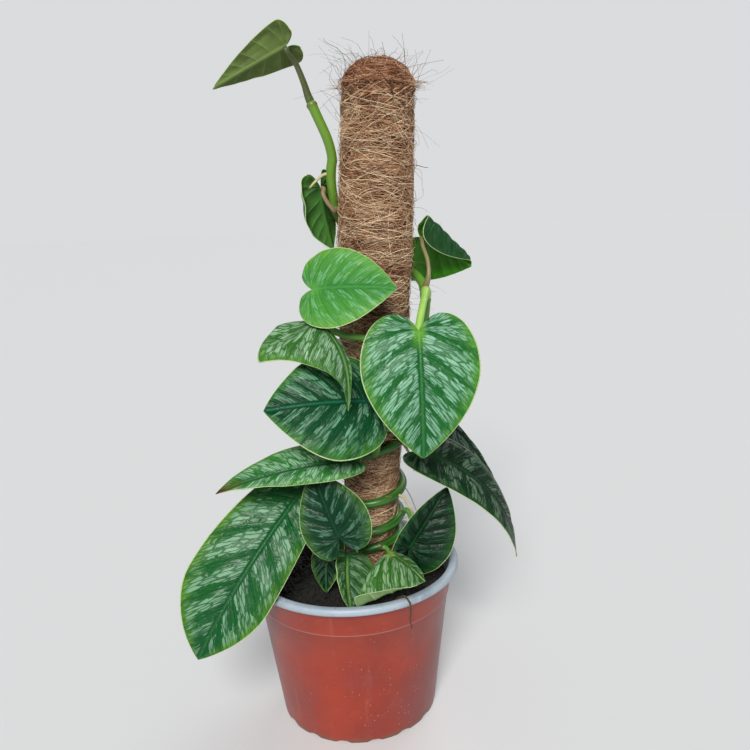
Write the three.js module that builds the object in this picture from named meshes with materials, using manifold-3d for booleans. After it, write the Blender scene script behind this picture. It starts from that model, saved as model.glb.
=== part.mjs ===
// A potted climbing monstera: one stem wound round a coir pole in a moulded nursery pot.
// Millimetres, +Z up. The origin is the middle of the pot's underside, on the surface it stands on.
import * as THREE from "three";
import { mergeVertices } from "three/addons/utils/BufferGeometryUtils.js";
import Module from "manifold-3d";

const wasm = await Module();
wasm.setup();

// ---- Driving dimensions ----
const clearance = 0.3; // left between pieces that touch

const rimRadius = 77.5; // outside of the lip
const footRadius = 57.5; // outside of the wall where it meets the feet
const potHeight = 113;
const potWall = 1.6;
const lipWidth = 5; // how far the lip stands out from the wall
const lipDrop = 5; // height of the lip's turned-down edge
const ridgeHeight = 90; // the moulding step round the wall
const ridgeStep = 1;
const floorHeight = 5; // underside of the pot's floor
const floorThickness = 2;
const footWidth = 5;
const footCount = 16;
const notchWidth = 9;
const padRadius = 14; // the middle pad that stands flush with the feet
const drainCount = 8;
const drainRadius = 4;
const drainRing = 40;
const notchShare = 0.3; // depth of the gaps between the feet, as a share of the floor's height

const soilDrop = 14; // soil surface below the lip
const soilMound = 3; // how far it rises towards the pole
const rootDepth = 99; // the plant's heights start this far below the soil surface

const poleLean = 3.6; // degrees, towards +X
const poleFootX = 5.5; // where the pole's line meets the floor plane
const stakeRadius = 9;
const coirFootRadius = 16.5; // the sleeve's radius in the soil
const coirFootHeight = 110; // along the pole, where it starts to widen
const coirTopRadius = 24.3; // the sleeve's radius at its widest
const coirWideHeight = 365; // along the pole, where it is widest
const coirTop = 459; // along the pole, top of the dome
const coirDome = 16; // height of the rounded top
const coirTipRadius = 4; // where the dome closes
const coirShoulderTaper = 1.5; // narrowing between the widest height and the shoulder
const twineRadius = 0.9;

const stemRadius = 3.2;
const bladeThickness = 0.8;
const stalkRadius = 1.6;
const rootRadius = 0.9;

const potSegments = 48;
const poleSegments = 24;
const bladeRows = 8;
const bladeColumns = 8;

// ---- Helpers ----
const degrees = Math.PI / 180;
const mix = (a, b, t) => a + (b - a) * t;
const clamp = (x, low, high) => Math.min(high, Math.max(low, x));
const vector = (p) => new THREE.Vector3(...p);
const plant = new THREE.Group();

function finish(color, roughness, metalness = 0) {
  return new THREE.MeshStandardMaterial({ color, roughness, metalness });
}

function addPiece(name, geometry, material, parent = plant) {
  const mesh = new THREE.Mesh(geometry, material);
  mesh.name = name;
  parent.add(mesh);
  return mesh;
}

function lathe(profile, segments) {
  const points = profile.map(([radius, height]) => new THREE.Vector2(radius, height));
  return new THREE.LatheGeometry(points, segments).rotateX(Math.PI / 2);
}

function toSolid(geometry) {
  const bare = geometry.clone();
  bare.deleteAttribute("normal");
  bare.deleteAttribute("uv");
  const merged = mergeVertices(bare, 1e-4);
  const made = new wasm.Manifold(
    new wasm.Mesh({
      numProp: 3,
      vertProperties: merged.attributes.position.array,
      triVerts: new Uint32Array(merged.index.array),
    }),
  );
  return made;
}

function toGeometry(solid) {
  const { vertProperties, triVerts, numProp } = solid.getMesh();
  const geometry = new THREE.BufferGeometry();
  const positions = new Float32Array((vertProperties.length / numProp) * 3);
  for (let i = 0; i < positions.length / 3; i++) {
    for (let axis = 0; axis < 3; axis++) positions[i * 3 + axis] = vertProperties[i * numProp + axis];
  }
  geometry.setAttribute("position", new THREE.BufferAttribute(positions, 3));
  geometry.setIndex(new THREE.BufferAttribute(new Uint32Array(triVerts), 1));
  const flat = geometry.toNonIndexed();
  flat.computeVertexNormals();
  return flat;
}

// A rod of round section along a smooth curve through points.
function rod(points, radius, steps, sides = 8) {
  const section = new THREE.Shape();
  for (let i = 0; i <= sides; i++) {
    const angle = (i / sides) * 2 * Math.PI;
    const at = [radius * Math.cos(angle), radius * Math.sin(angle)];
    if (i === 0) section.moveTo(...at);
    else section.lineTo(...at);
  }
  const path = new THREE.CatmullRomCurve3(points.map((p) => (p.isVector3 ? p : vector(p))));
  return new THREE.ExtrudeGeometry(section, { steps, extrudePath: path, curveSegments: sides });
}

// ---- Pot ----
const innerFoot = footRadius - potWall;
const wallSlope = (rimRadius - lipWidth - footRadius) / potHeight;
const wallRadius = (height) => footRadius + wallSlope * height;
const innerRadius = (height) => wallRadius(height) - potWall;

function makePot() {
  const lipBase = potHeight - lipDrop;
  const shell = lathe(
    [
      [0, floorHeight],
      [innerFoot - footWidth, floorHeight],
      [innerFoot - footWidth, 0],
      [footRadius, 0],
      [wallRadius(ridgeHeight), ridgeHeight],
      [wallRadius(ridgeHeight) + ridgeStep, ridgeHeight + ridgeStep],
      [wallRadius(lipBase) + ridgeStep, lipBase],
      [rimRadius - potWall, lipBase],
      [rimRadius, lipBase + potWall],
      [rimRadius, potHeight - potWall],
      [rimRadius - potWall, potHeight],
      [innerRadius(potHeight) + potWall, potHeight],
      [innerRadius(potHeight - potWall), potHeight - potWall * 2],
      [innerRadius(floorHeight + floorThickness), floorHeight + floorThickness],
      [0, floorHeight + floorThickness],
    ],
    potSegments,
  );
  let pot = toSolid(shell);
  const padHeight = floorHeight + floorThickness / 2;
  const pad = new THREE.CylinderGeometry(padRadius, padRadius, padHeight, poleSegments)
    .rotateX(Math.PI / 2)
    .translate(0, 0, padHeight / 2);
  pot = pot.add(toSolid(pad));
  for (let i = 0; i < footCount; i++) {
    const angle = ((i + 0.5) / footCount) * 2 * Math.PI;
    const notch = new THREE.BoxGeometry(footWidth * 4, notchWidth, floorHeight * notchShare * 2)
      .translate(footRadius - footWidth / 2, 0, 0)
      .rotateZ(angle);
    pot = pot.subtract(toSolid(notch));
  }
  for (let i = 0; i < drainCount; i++) {
    const angle = (i / drainCount) * 2 * Math.PI;
    const hole = new THREE.CylinderGeometry(drainRadius, drainRadius, floorHeight * 4, 10)
      .rotateX(Math.PI / 2)
      .translate(drainRing * Math.cos(angle), drainRing * Math.sin(angle), floorHeight);
    pot = pot.subtract(toSolid(hole));
  }
  return toGeometry(pot);
}

// ---- Climbing pole ----
// The pole and all that grows rise and fall with the soil.
const soilTop = potHeight - soilDrop;
const rise = soilTop - rootDepth;
const growth = new THREE.Group();
growth.position.z = rise;
plant.add(growth);
const lean = new THREE.Group();
lean.position.x = poleFootX;
lean.rotation.y = poleLean * degrees;
growth.add(lean);

const poleAxisX = (height) => poleFootX + Math.tan(poleLean * degrees) * height;

function coirRadius(height) {
  const shoulder = coirTop - coirDome;
  if (height > shoulder) {
    const share = clamp((height - shoulder) / coirDome, 0, 1);
    return mix(coirRadius(shoulder), coirTipRadius, 1 - Math.sqrt(1 - share * share));
  }
  const share = clamp((height - coirFootHeight) / (coirWideHeight - coirFootHeight), 0, 1);
  const taper = clamp((height - coirWideHeight) / (shoulder - coirWideHeight), 0, 1);
  const swell = Math.sin((share * Math.PI) / 2) ** 1.3;
  return mix(coirFootRadius, coirTopRadius, swell) - taper * coirShoulderTaper;
}

const poleBottom = floorHeight + floorThickness + clearance * 4 - rise;
const sleeveBottom = poleBottom + 2; // the stake shows a little below the sleeve
const stakeTop = coirTop - coirDome;

function makeSleeve() {
  const shoulder = coirTop - coirDome;
  const heights = [sleeveBottom, coirFootHeight / 2, coirFootHeight];
  for (const share of [0.12, 0.28, 0.47, 0.71, 1]) heights.push(mix(coirFootHeight, coirWideHeight, share));
  heights.push(mix(coirWideHeight, shoulder, 0.58));
  for (const share of [0, 0.4, 0.7, 0.9]) heights.push(shoulder + coirDome * share);
  const bore = stakeRadius + clearance;
  const profile = [[bore, sleeveBottom]];
  for (const height of heights) profile.push([coirRadius(height), height]);
  profile.push([0, coirTop]);
  profile.push([0, stakeTop + clearance]);
  profile.push([bore, stakeTop + clearance]);
  profile.push([bore, sleeveBottom]);
  return lathe(profile, poleSegments);
}

// The strand that holds the fibre, once round near the top and a little higher on the +X side.
const twineDrop = 23; // below the pole's top
const twineTilt = 5;
function makeTwine() {
  const turns = 16;
  const points = [];
  for (let i = 0; i < turns; i++) {
    const angle = ((i + 0.5) / turns) * 2 * Math.PI;
    const height = coirTop - twineDrop + twineTilt * Math.cos(angle);
    const radius = coirRadius(height - twineTilt) + twineRadius + clearance * 2;
    points.push([radius * Math.cos(angle), radius * Math.sin(angle), height]);
  }
  return rod(points, twineRadius, 2 * turns, 6);
}

// ---- Climbing stem ----
// Each point is [turn angle in degrees, height, extra distance from the pole]; -90 faces the front.
const stemTurns = [
  [-250, 84, 9],
  [-215, 100, 5],
  [-180, 113, 1],
  [-135, 122, 0],
  [-90, 128.5, 0],
  [-45, 131, 0],
  [0, 133, 0.5],
  [90, 136, 0],
  [180, 138, 0],
  [225, 139.5, 0],
  [270, 141, 0],
  [315, 144, 0],
  [360, 147.5, 0.5],
  [450, 154, 0],
  [540, 159, 0],
  [585, 161, 0],
  [630, 163, 0],
  [675, 165.5, 0],
  [720, 170, 0.5],
  [810, 181, 0],
  [900, 190, 0],
  [945, 195, 0],
  [990, 199.5, 0],
  [1035, 205, 0.5],
  [1080, 212, 1],
  [1170, 226, 0],
  [1260, 244, 0],
  [1305, 256, 0],
  [1350, 265, 0],
  [1380, 268, 1],
  [1420, 277, 6],
  [1430, 290, 8],
  [1436, 303, 8],
  [1450, 313, 6],
  [1490, 325, 1],
  [1530, 336, 0],
  [1575, 352, 0],
  [1610, 368, 0.5],
  [1623.8, 388, 2.8],
  [1627.7, 398, 2.3],
  [1632.3, 409, 5.7],
  [1633.3, 422, 12.1],
  [1632.9, 434, 18.2],
];
const turnScale = 3; // degrees of turn that count as one millimetre of height
const turnStep = 20; // degrees between points of the stem's path

function stemPoint([angle, height, extra]) {
  const radius = coirRadius(height) + stemRadius + clearance * 2 + extra;
  return new THREE.Vector3(
    poleAxisX(height) + radius * Math.cos(angle * degrees),
    radius * Math.sin(angle * degrees),
    height,
  );
}

// The turns are smoothed as a curve of turn, height and distance, and then laid round the pole.
function windStem(turns) {
  const unrolled = new THREE.CatmullRomCurve3(
    turns.map(([angle, height, extra]) => new THREE.Vector3(angle / turnScale, height, extra)),
  );
  const count = Math.round(unrolled.getLength() / (turnStep / turnScale));
  return unrolled
    .getSpacedPoints(count)
    .map((p) => stemPoint([p.x * turnScale, p.y, p.z]));
}

const stemPath = windStem(stemTurns);

// A place on the stem's outer side, given like one of its turns.
function nodePoint([angle, height, extra]) {
  return stemPoint([angle, height, extra + stemRadius + clearance]);
}

// Leaf 8 hangs out over the rim; its tip keeps its distance from the lip.
const overRimTurn = -143.4;
const overRim = [
  rimRadius * Math.cos(overRimTurn * degrees),
  rimRadius * Math.sin(overRimTurn * degrees),
];

// ---- Blades ----
// node: the place on the stem that the leaf grows from, as in stemTurns; other points are measured from it.
// base, tip: ends of the midrib; face and faceTip: where the upper side looks at either end.
// width: half width; widest: where, as a share of the length; lobe: how far the lobes reach back, as a share;
// arch: rise of the midrib's middle. Pairs are [left, right] as seen from the upper side, base to tip:
// fold: the half blade's rise from the midrib in degrees; curl: its further turn to the margin;
// hook: an extra turn of the outer part only; bow: an extra shift of the midrib's middle.
// stalk: points from the stem to the blade; join: where it ends, if not flat against the underside.
const leaves = [
  {
    name: "leaf_01", node: [1633, 434, 18.2], base: [-8.9, -7.2, 31], tip: [-57.5, -1.2, 9],
    face: [-0.15, 0.75, 0.65], width: [16, 16], widest: 0.1, taper: 1.4, lobe: 0.14, arch: 1,
    fold: [22, 12], curl: [0, 0],
    stalk: [[2.5, 0.4, 3], [0.6, -1.2, 10], [-3.9, -4.2, 22]], stalkRadius: 2.6,
  },
  {
    name: "leaf_02", node: [1610, 368.3, 0.5], base: [-5.4, -3.5, 11.7], tip: [0.6, 6.5, -30.3],
    face: [-0.55, 0.82, 0.1], width: [19, 13], lobe: 0.24, arch: 2, fold: [10, 15], curl: [0, 10],
    hook: [-100, 0],
    stalk: [[3.6, -8.5, -4.3], [-1.4, -10.5, 2.7], [-3.4, -9.5, 7.7]],
  },
  {
    name: "leaf_03", node: [1446, 310.8, 6.7], base: [-3.7, 19.1, 33.2], tip: [33.8, 29.1, 9.7],
    face: [0.35, 0.9, 0.1], width: [38, 31], widest: 0.3, lobe: 0.14,
    lobeShare: 0.3, arch: 3, fold: [5, 0], curl: [10, 0],
    rolls: [{ from: [1, 0.05], to: [0.05, 0.8], radius: 3, turn: -155 }],
    stalk: [[-0.3, -6.9, 7.2], [-0.3, -2.4, 17.2], [-2.7, 7.3, 27]],
  },
  {
    name: "leaf_04", node: [1295, 253.5, 0], base: [-12.6, -21.3, 62.5], tip: [41.4, -35.3, 62],
    face: [0.05, -0.9, 0.42], width: [27, 27], lobe: 0.14, arch: 4, fold: [6, 6], curl: [-14, -14],
    stalk: [[-2.1, 1.7, 4.5], [-11.6, -0.3, 28], [-17.1, -8.3, 52]],
  },
  {
    name: "leaf_05", node: [1407, 272.8, 4], base: [-63, -24.8, 22], tip: [-45.6, -64.8, -26],
    face: [-0.05, -0.75, 0.65], faceTip: [-0.95, -0.3, 0.1], width: [12, 44], widest: 0.14,
    taper: 0.85, lobe: 0.36, lobeShare: 0.55, arch: 6, bow: [7, 0, 3],
    fold: [-75, 6], curl: [-20, -24],
    stalk: [[-1, -3.6, 5.2], [-11, -11.6, 6.2], [-29, -17.8, 9], [-47, -20.8, 13]],
    join: [-55, -22.8, 17], stalkRadius: 2.5,
  },
  {
    name: "leaf_06", node: [1000, 200.7, 0.1], base: [-2.2, -19.4, 42.3], tip: [-70.8, -36.4, 43.3],
    face: [-0.05, -0.85, 0.5], width: [38, 34], widest: 0.42, lobe: 0.11, arch: 6, fold: [4, 4],
    curl: [-18, -18],
    stalk: [[-0.8, -2.4, 4.3], [2.2, -5.4, 21.3], [-0.8, -10.4, 35.3]],
  },
  {
    name: "leaf_07", node: [975, 198, 0], base: [-3.4, -20.1, 5], tip: [-96, -26.1, -11],
    face: [0, -0.42, 0.9], width: [14, 21], widest: 0.26, lobe: 0.06, arch: 6, fold: [8, 14],
    curl: [-50, -20],
    rolls: [{ from: [0.55, -0.95], to: [0.98, -0.1], radius: 0.8, turn: 160 }],
    stalk: [[-1, -3.1, 1], [-2, -8.1, 0]],
  },
  {
    name: "leaf_08", node: [908, 190.8, 0], base: [-19.3, -20.3, -10.8],
    tip: [overRim[0] - 30.1, overRim[1] - 25.1, -109.3],
    face: [0.15, -0.8, 0.55], width: [27, 35.5], widest: 0.62, lobe: 0.08, lobeShare: 0.15, arch: 7,
    bow: [-5.5, -4, -1.5], fold: [4, 4], curl: [-14, -20],
    stalk: [[-3.3, -1.3, -3.8], [-11.3, -10.3, -6.8]],
  },
  {
    name: "leaf_09", node: [601, 161.7, 0], base: [-9.4, -31.9, -8.7], tip: [-25.4, -17.9, 33.3],
    face: [-0.05, -0.93, 0.3], width: [22, 25], lobe: 0.28, arch: 4, fold: [8, 8], curl: [-24, -24],
    stalk: [[-1.4, -3.9, -4.7], [-5.4, -15.9, -9.7]],
  },
  {
    name: "leaf_10", node: [1433, 297.1, 8.3], base: [-11.6, -45.3, -9.1], tip: [-12.1, -61.3, -88.1],
    face: [0.04, -0.97, 0.22], width: [38, 38], lobe: 0.14, arch: 6, fold: [5, 5], curl: [-14, -14],
    stalk: [[-3.1, -2.1, 10.9], [-5.1, -15.3, 7.9], [-8.6, -31.3, -0.1]], stalkRadius: 2.8,
  },
  {
    name: "leaf_11", node: [1068, 210, 0.9], base: [4.7, -20.1, -9], tip: [73.7, -2.1, -99],
    face: [0.1, -0.7, 0.7], faceTip: [0.9, -0.25, 0.35], width: [20, 18], widest: 0.3, lobe: 0.1,
    arch: 2, bow: [13, 0, 10], fold: [-4, -4], curl: [-10, -10],
    stalk: [[1.2, 0.9, -4], [2.7, -6.1, -9], [3.7, -13.1, -13]],
  },
  {
    name: "leaf_12", node: [1091, 213.7, 0.9], base: [16.2, 4.6, 7.3], tip: [65.2, 12.6, -62.7],
    face: [0.75, -0.45, 0.5], width: [6, 16], lobe: 0.1, arch: 6, fold: [10, 10], curl: [-20, -20],
    stalk: [[1.2, 0.6, -0.7], [7.2, 3.6, 2.3]],
  },
  {
    name: "leaf_13", node: [361, 147.5, 0.5], base: [1.1, -26.4, -16.5], tip: [30.1, -14.4, 22.5],
    face: [0.1, -0.88, 0.45], width: [12, 27], lobe: 0.28, arch: 3, fold: [20, 4], curl: [0, -20],
    stalk: [[1.1, -0.4, 0.5], [4.1, -8.4, -6.5], [3.1, -17.4, -13.5]],
  },
  {
    name: "leaf_14", node: [-63, 130.2, -0.1], base: [2.5, -12.7, 0.8], tip: [25.5, -30.7, -12.2],
    face: [0.1, -0.42, 0.9], width: [10, 50], widest: 0.4, lobe: 0.1, arch: 3, fold: [-30, -5],
    curl: [0, -50],
    rolls: [{ from: [1, 0], to: [0.5, 0.64], radius: 1.5, turn: 150 }],
    stalk: [[0.5, -0.7, -1.2], [2, -5.7, -3.2]],
  },
  {
    name: "leaf_15", node: [-118, 124.8, -0.1], base: [-4.2, -11, 5.2], tip: [-3.2, -33, -23.8],
    face: [-0.3, -0.7, 0.6], width: [20, 11], lobe: 0.08, arch: 3, fold: [-25, 60], curl: [-25, 20],
    stalk: [[-1.2, -2, 0.2], [-2.2, -7, 1.2]],
  },
  {
    name: "leaf_16", node: [-159, 117.7, 0.3], base: [-4.5, -8.4, 14.3], tip: [-8.5, -25.4, -14.7],
    face: [-0.5, -0.8, 0.3], width: [14, 14], lobe: 0.12, arch: 3, fold: [6, 6], curl: [-10, -10],
    stalk: [[-1, 2.6, 5.3], [-3.5, -1.4, 11.3]],
  },
];
const usualWidest = 0.36;
const usualTaper = 1.9; // how full the sides stay towards the tip; 1 is nearly straight
const usualLobeShare = 0.42; // half width at the back of the lobes, as a share of the widest
const hookStart = 0.5; // share of the half width where a hook begins

// Half width of a heart-shaped blade at share x of its whole length, from the lobes to the tip.
function outline(x, { widest = usualWidest, taper = usualTaper, lobeShare = usualLobeShare }) {
  if (x < widest) {
    const back = (widest - x) / widest;
    return lobeShare + (1 - lobeShare) * Math.sqrt(1 - back * back);
  }
  const ahead = (x - widest) / (1 - widest);
  return (1 - ahead ** taper) ** 0.95;
}

// Follows a half blade's section from the midrib outwards: the way out, the rise and the final turn.
function section(across, leaf, half) {
  const hook = (leaf.hook ?? [0, 0])[half];
  const turnAt = (share) =>
    (leaf.fold[half] + leaf.curl[half] * share + hook * Math.max(0, (share - hookStart) / (1 - hookStart)))
    * degrees;
  const steps = 8;
  let out = 0;
  let rise = 0;
  for (let i = 0; i < steps; i++) {
    const turn = turnAt((((i + 0.5) / steps) * across) / leaf.width[half]);
    out += (Math.cos(turn) * across) / steps;
    rise += (Math.sin(turn) * across) / steps;
  }
  return { out, rise, turn: turnAt(across / leaf.width[half]) };
}

// The point of the blade's upper side at u along the midrib and v across it, and the way it faces.
function openPoint(leaf, u, v) {
  const base = vector(leaf.base);
  const tip = vector(leaf.tip);
  const length = base.distanceTo(tip);
  const t = Math.abs(v);
  const x = mix(u, 0.5 * (1 - Math.cos(Math.PI * u)), 0.6);
  const marginAlong = length * (x * (1 + leaf.lobe) - leaf.lobe);
  const midAlong = length * u ** 1.45;
  const basal = (1 - u) ** 4;
  const reach = mix(t ** 1.3, Math.sin((Math.PI / 2) * t ** 0.8), basal);
  const along = mix(midAlong, marginAlong, reach) / length;
  const half = v < 0 ? 0 : 1;
  const across = leaf.width[half] * outline(x, leaf) * t;

  const q = Math.max(along, 0);
  const chord = tip.clone().sub(base).normalize();
  const lift = vector(leaf.face);
  lift.addScaledVector(chord, -lift.dot(chord)).normalize();
  const bend = base.clone().add(tip).multiplyScalar(0.5).addScaledVector(lift, leaf.arch * 2);
  bend.addScaledVector(vector(leaf.bow ?? [0, 0, 0]), 2);
  const point = new THREE.Vector3()
    .addScaledVector(base, (1 - q) * (1 - q))
    .addScaledVector(bend, 2 * q * (1 - q))
    .addScaledVector(tip, q * q);
  const tangent = bend.clone().sub(base).multiplyScalar(1 - q)
    .addScaledVector(tip.clone().sub(bend), q)
    .normalize();
  if (along < 0) point.addScaledVector(tangent, along * length);

  const face = vector(leaf.face).lerp(vector(leaf.faceTip ?? leaf.face), q);
  const side = tangent.clone().cross(face).normalize();
  const up = side.clone().cross(tangent);
  const sign = v < 0 ? -1 : 1;
  const { out, rise, turn } = section(across, leaf, half);
  point.addScaledVector(side, sign * out).addScaledVector(up, rise);
  const normal = up.clone();
  if (t > 0) normal.multiplyScalar(Math.cos(turn)).addScaledVector(side, -sign * Math.sin(turn));
  return { point, normal };
}

// Rolls what lies beyond a line on the blade: from and to are the line's ends as [u, v], with the rolled part
// on the left of the way from one to the other, seen from the upper side. A negative turn rolls it under.
function bladePoint(leaf, u, v) {
  const { point, normal } = openPoint(leaf, u, v);
  for (const { from, to, radius, turn } of leaf.rolls ?? []) {
    const start = openPoint(leaf, ...from);
    const end = openPoint(leaf, ...to);
    const line = end.point.clone().sub(start.point).normalize();
    const over = start.normal.clone().add(end.normal).multiplyScalar(Math.sign(turn));
    over.addScaledVector(line, -over.dot(line)).normalize();
    const beyond = over.clone().cross(line).multiplyScalar(Math.sign(turn));
    const past = point.clone().sub(start.point).dot(beyond);
    if (past <= 0) continue;
    const angle = Math.min(past / radius, Math.abs(turn) * degrees);
    const flat = past - radius * angle;
    point.addScaledVector(beyond, radius * Math.sin(angle) + flat * Math.cos(angle) - past);
    point.addScaledVector(over, radius * (1 - Math.cos(angle)) + flat * Math.sin(angle));
    normal.applyAxisAngle(line, angle * Math.sign(turn));
  }
  return { point, normal };
}

// The leaf with its points moved from its node's place to the plant's frame.
function placed(leaf) {
  const node = nodePoint(leaf.node);
  const move = (point) => vector(point).add(node).toArray();
  const moved = { ...leaf, base: move(leaf.base), tip: move(leaf.tip), stalk: leaf.stalk.map(move) };
  if (leaf.join) moved.join = move(leaf.join);
  return moved;
}

function makeBlade(leaf) {
  const rows = bladeRows;
  const columns = bladeColumns;
  const corners = [];
  for (const layer of [0, bladeThickness]) {
    for (let i = 0; i <= rows; i++) {
      for (let j = 0; j <= columns; j++) {
        const { point, normal } = bladePoint(leaf, i / rows, (j / columns) * 2 - 1);
        corners.push(point.addScaledVector(normal, -layer));
      }
    }
  }
  const layerSize = (rows + 1) * (columns + 1);
  const index = (layer, i, j) => {
    const place = i === rows ? rows * (columns + 1) : i * (columns + 1) + j;
    return layer * layerSize + place;
  };
  const faces = [];
  const quad = (a, b, c, d) => {
    if (a !== b && b !== c && a !== c) faces.push(a, b, c);
    if (a !== c && c !== d && a !== d) faces.push(a, c, d);
  };
  for (let i = 0; i < rows; i++) {
    for (let j = 0; j < columns; j++) {
      quad(index(0, i, j), index(0, i, j + 1), index(0, i + 1, j + 1), index(0, i + 1, j));
      quad(index(1, i, j), index(1, i + 1, j), index(1, i + 1, j + 1), index(1, i, j + 1));
    }
    quad(index(0, i, 0), index(0, i + 1, 0), index(1, i + 1, 0), index(1, i, 0));
    quad(index(0, i, columns), index(1, i, columns), index(1, i + 1, columns), index(0, i + 1, columns));
  }
  for (let j = 0; j < columns; j++) {
    quad(index(0, 0, j), index(1, 0, j), index(1, 0, j + 1), index(0, 0, j + 1));
  }
  const positions = [];
  for (const i of faces) positions.push(...corners[i].toArray());
  const geometry = new THREE.BufferGeometry();
  geometry.setAttribute("position", new THREE.Float32BufferAttribute(positions, 3));
  geometry.computeVertexNormals();
  return geometry;
}

// The stalk ends flat against the underside of its blade's base, unless it has an end of its own.
function makeStalk(leaf) {
  const radius = leaf.stalkRadius ?? stalkRadius;
  const points = leaf.stalk.map(vector);
  if (leaf.join) {
    points.push(vector(leaf.join));
  } else {
    const { point, normal } = bladePoint(leaf, 0, 0);
    const roof = Math.max(0, -Math.min(...leaf.fold));
    const gap = bladeThickness + clearance + radius * Math.sin(roof * degrees);
    const end = point.clone().addScaledVector(normal, -gap);
    points.push(end.clone().addScaledVector(normal, -3), end);
  }
  return rod(points, radius, 2 * points.length, 6);
}

// ---- Roots ----
const aerialRoots = [
  { node: [1624, 388.1, 2.8], path: [[-0.6, -0.7, -0.1], [-6.3, -2.7, -4.1], [-12.3, -3.7, -10.1]] },
  { node: [249, 140.2, 0], path: [[-1.6, -4.2, -1.2], [-1.1, -4.8, -9], [0.4, -3.8, -15.5]] },
  { node: [1041, 205.8, 0.6], path: [[0.5, 0.5, -2.8], [5, 3.5, -12.8], [7, 5.5, -23.8]] },
  { node: [682, 166.1, 0.1], path: [[2.9, -2.3, -1.1], [6.9, -4.3, -8.1], [9.9, -2.3, -16.1]] },
];
// The dead rootlet lies over the lip: [turn round the pot in degrees, radius, height].
const lipTop = potHeight + rootRadius + clearance;
const lipSide = rimRadius + rootRadius + clearance;
const hangingRoot = [
  [-63, innerRadius(potHeight) - 6, potHeight - 5],
  [-62, rimRadius - lipWidth * 0.8, lipTop + 0.5],
  [-61.5, rimRadius - lipWidth * 0.2, lipTop + 0.7],
  [-61, lipSide + 0.8, potHeight - 1],
  [-60.5, lipSide + 0.8, potHeight - lipDrop],
  [-60, lipSide - 1.5, potHeight - 14],
  [-59, lipSide - 2.5, potHeight - 22],
];

// ---- Assembly ----
const terracotta = finish(0xb4523a, 0.5);
const mould = finish(0x241a14, 0.95);
const timber = finish(0xa98558, 0.8);
const coir = finish(0x8a5f3e, 0.95);
const twine = finish(0xb08a5a, 0.9);
const stemGreen = finish(0x4f8f3a, 0.5);
const stalkGreen = finish(0x6f9a4a, 0.55);
const bladeGreen = finish(0x2f6b3c, 0.45);
const rootTan = finish(0xc9b98c, 0.8);

addPiece("pot", makePot(), terracotta);

const stake = new THREE.CylinderGeometry(stakeRadius, stakeRadius, stakeTop - poleBottom, poleSegments)
  .rotateX(Math.PI / 2)
  .translate(0, 0, (stakeTop + poleBottom) / 2);
addPiece("pole_core", stake, timber, lean);
addPiece("coir_wrap", makeSleeve(), coir, lean);
addPiece("binding_twine", makeTwine(), twine, lean);

const stem = rod(stemPath, stemRadius, 150, 8);
addPiece("vine_stem", stem, stemGreen, growth);

const buriedPoints = 6; // points of the stem's path that lie in or near the soil

function makeSoil() {
  const low = floorHeight + floorThickness + clearance;
  const body = lathe(
    [
      [0, low],
      [innerRadius(low) - clearance, low],
      [innerRadius(soilTop) - clearance, soilTop],
      [innerRadius(soilTop) * 0.5, soilTop + soilMound * 0.6],
      [0, soilTop + soilMound],
    ],
    potSegments,
  );
  const socket = new THREE.CylinderGeometry(
    coirFootRadius + clearance * 2, coirFootRadius + clearance * 2, potHeight * 2, poleSegments)
    .rotateX(Math.PI / 2)
    .rotateY(poleLean * degrees)
    .translate(poleFootX, 0, rise);
  const burrowEnd = stemPath[0].clone().lerp(stemPath[1], -0.5);
  const buried = [burrowEnd, ...stemPath.slice(0, buriedPoints)];
  const burrow = rod(buried, stemRadius + clearance * 3, 16, 8).translate(0, 0, rise);
  return toGeometry(toSolid(body).subtract(toSolid(socket)).subtract(toSolid(burrow)));
}
addPiece("soil", makeSoil(), mould);

for (const leaf of leaves.map(placed)) {
  addPiece(leaf.name, makeBlade(leaf), bladeGreen, growth);
  addPiece(leaf.name.replace("leaf", "petiole"), makeStalk(leaf), stalkGreen, growth);
}

aerialRoots.forEach(({ node, path }, i) => {
  const points = path.map((point) => vector(point).add(nodePoint(node)));
  addPiece(`aerial_root_${i + 1}`, rod(points, rootRadius, 6, 6), rootTan, growth);
});

const rimRoot = hangingRoot.map(([turn, radius, height]) => [
  radius * Math.cos(turn * degrees),
  radius * Math.sin(turn * degrees),
  height,
]);
addPiece("dry_root", rod(rimRoot, rootRadius, 16, 6), twine);

export default plant;
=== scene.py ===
import math

import bmesh
import bpy
import numpy as np
from mathutils import Matrix, Vector, noise


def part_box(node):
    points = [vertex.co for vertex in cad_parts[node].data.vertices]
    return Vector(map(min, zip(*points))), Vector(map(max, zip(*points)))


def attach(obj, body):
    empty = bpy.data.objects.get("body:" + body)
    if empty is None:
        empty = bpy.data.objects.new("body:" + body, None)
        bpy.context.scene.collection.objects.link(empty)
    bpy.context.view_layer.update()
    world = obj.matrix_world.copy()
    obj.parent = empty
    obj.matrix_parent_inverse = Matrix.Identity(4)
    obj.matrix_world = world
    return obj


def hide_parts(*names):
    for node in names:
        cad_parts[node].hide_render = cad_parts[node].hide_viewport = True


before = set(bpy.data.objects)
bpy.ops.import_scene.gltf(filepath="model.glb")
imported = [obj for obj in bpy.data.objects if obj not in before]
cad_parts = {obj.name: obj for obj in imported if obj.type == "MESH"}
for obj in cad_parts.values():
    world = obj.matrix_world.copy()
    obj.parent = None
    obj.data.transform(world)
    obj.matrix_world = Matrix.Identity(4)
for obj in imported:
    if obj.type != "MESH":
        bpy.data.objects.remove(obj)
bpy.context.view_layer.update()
mm = 0.001

# small helpers for numbers and curves, in millimetres


def mix(a, b, t):
    return a + (b - a) * t


def clamp(x, low=0.0, high=1.0):
    return np.minimum(high, np.maximum(low, x))


def unit(vectors):
    return vectors / np.maximum(np.linalg.norm(vectors, axis=-1, keepdims=True), 1e-9)


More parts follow.
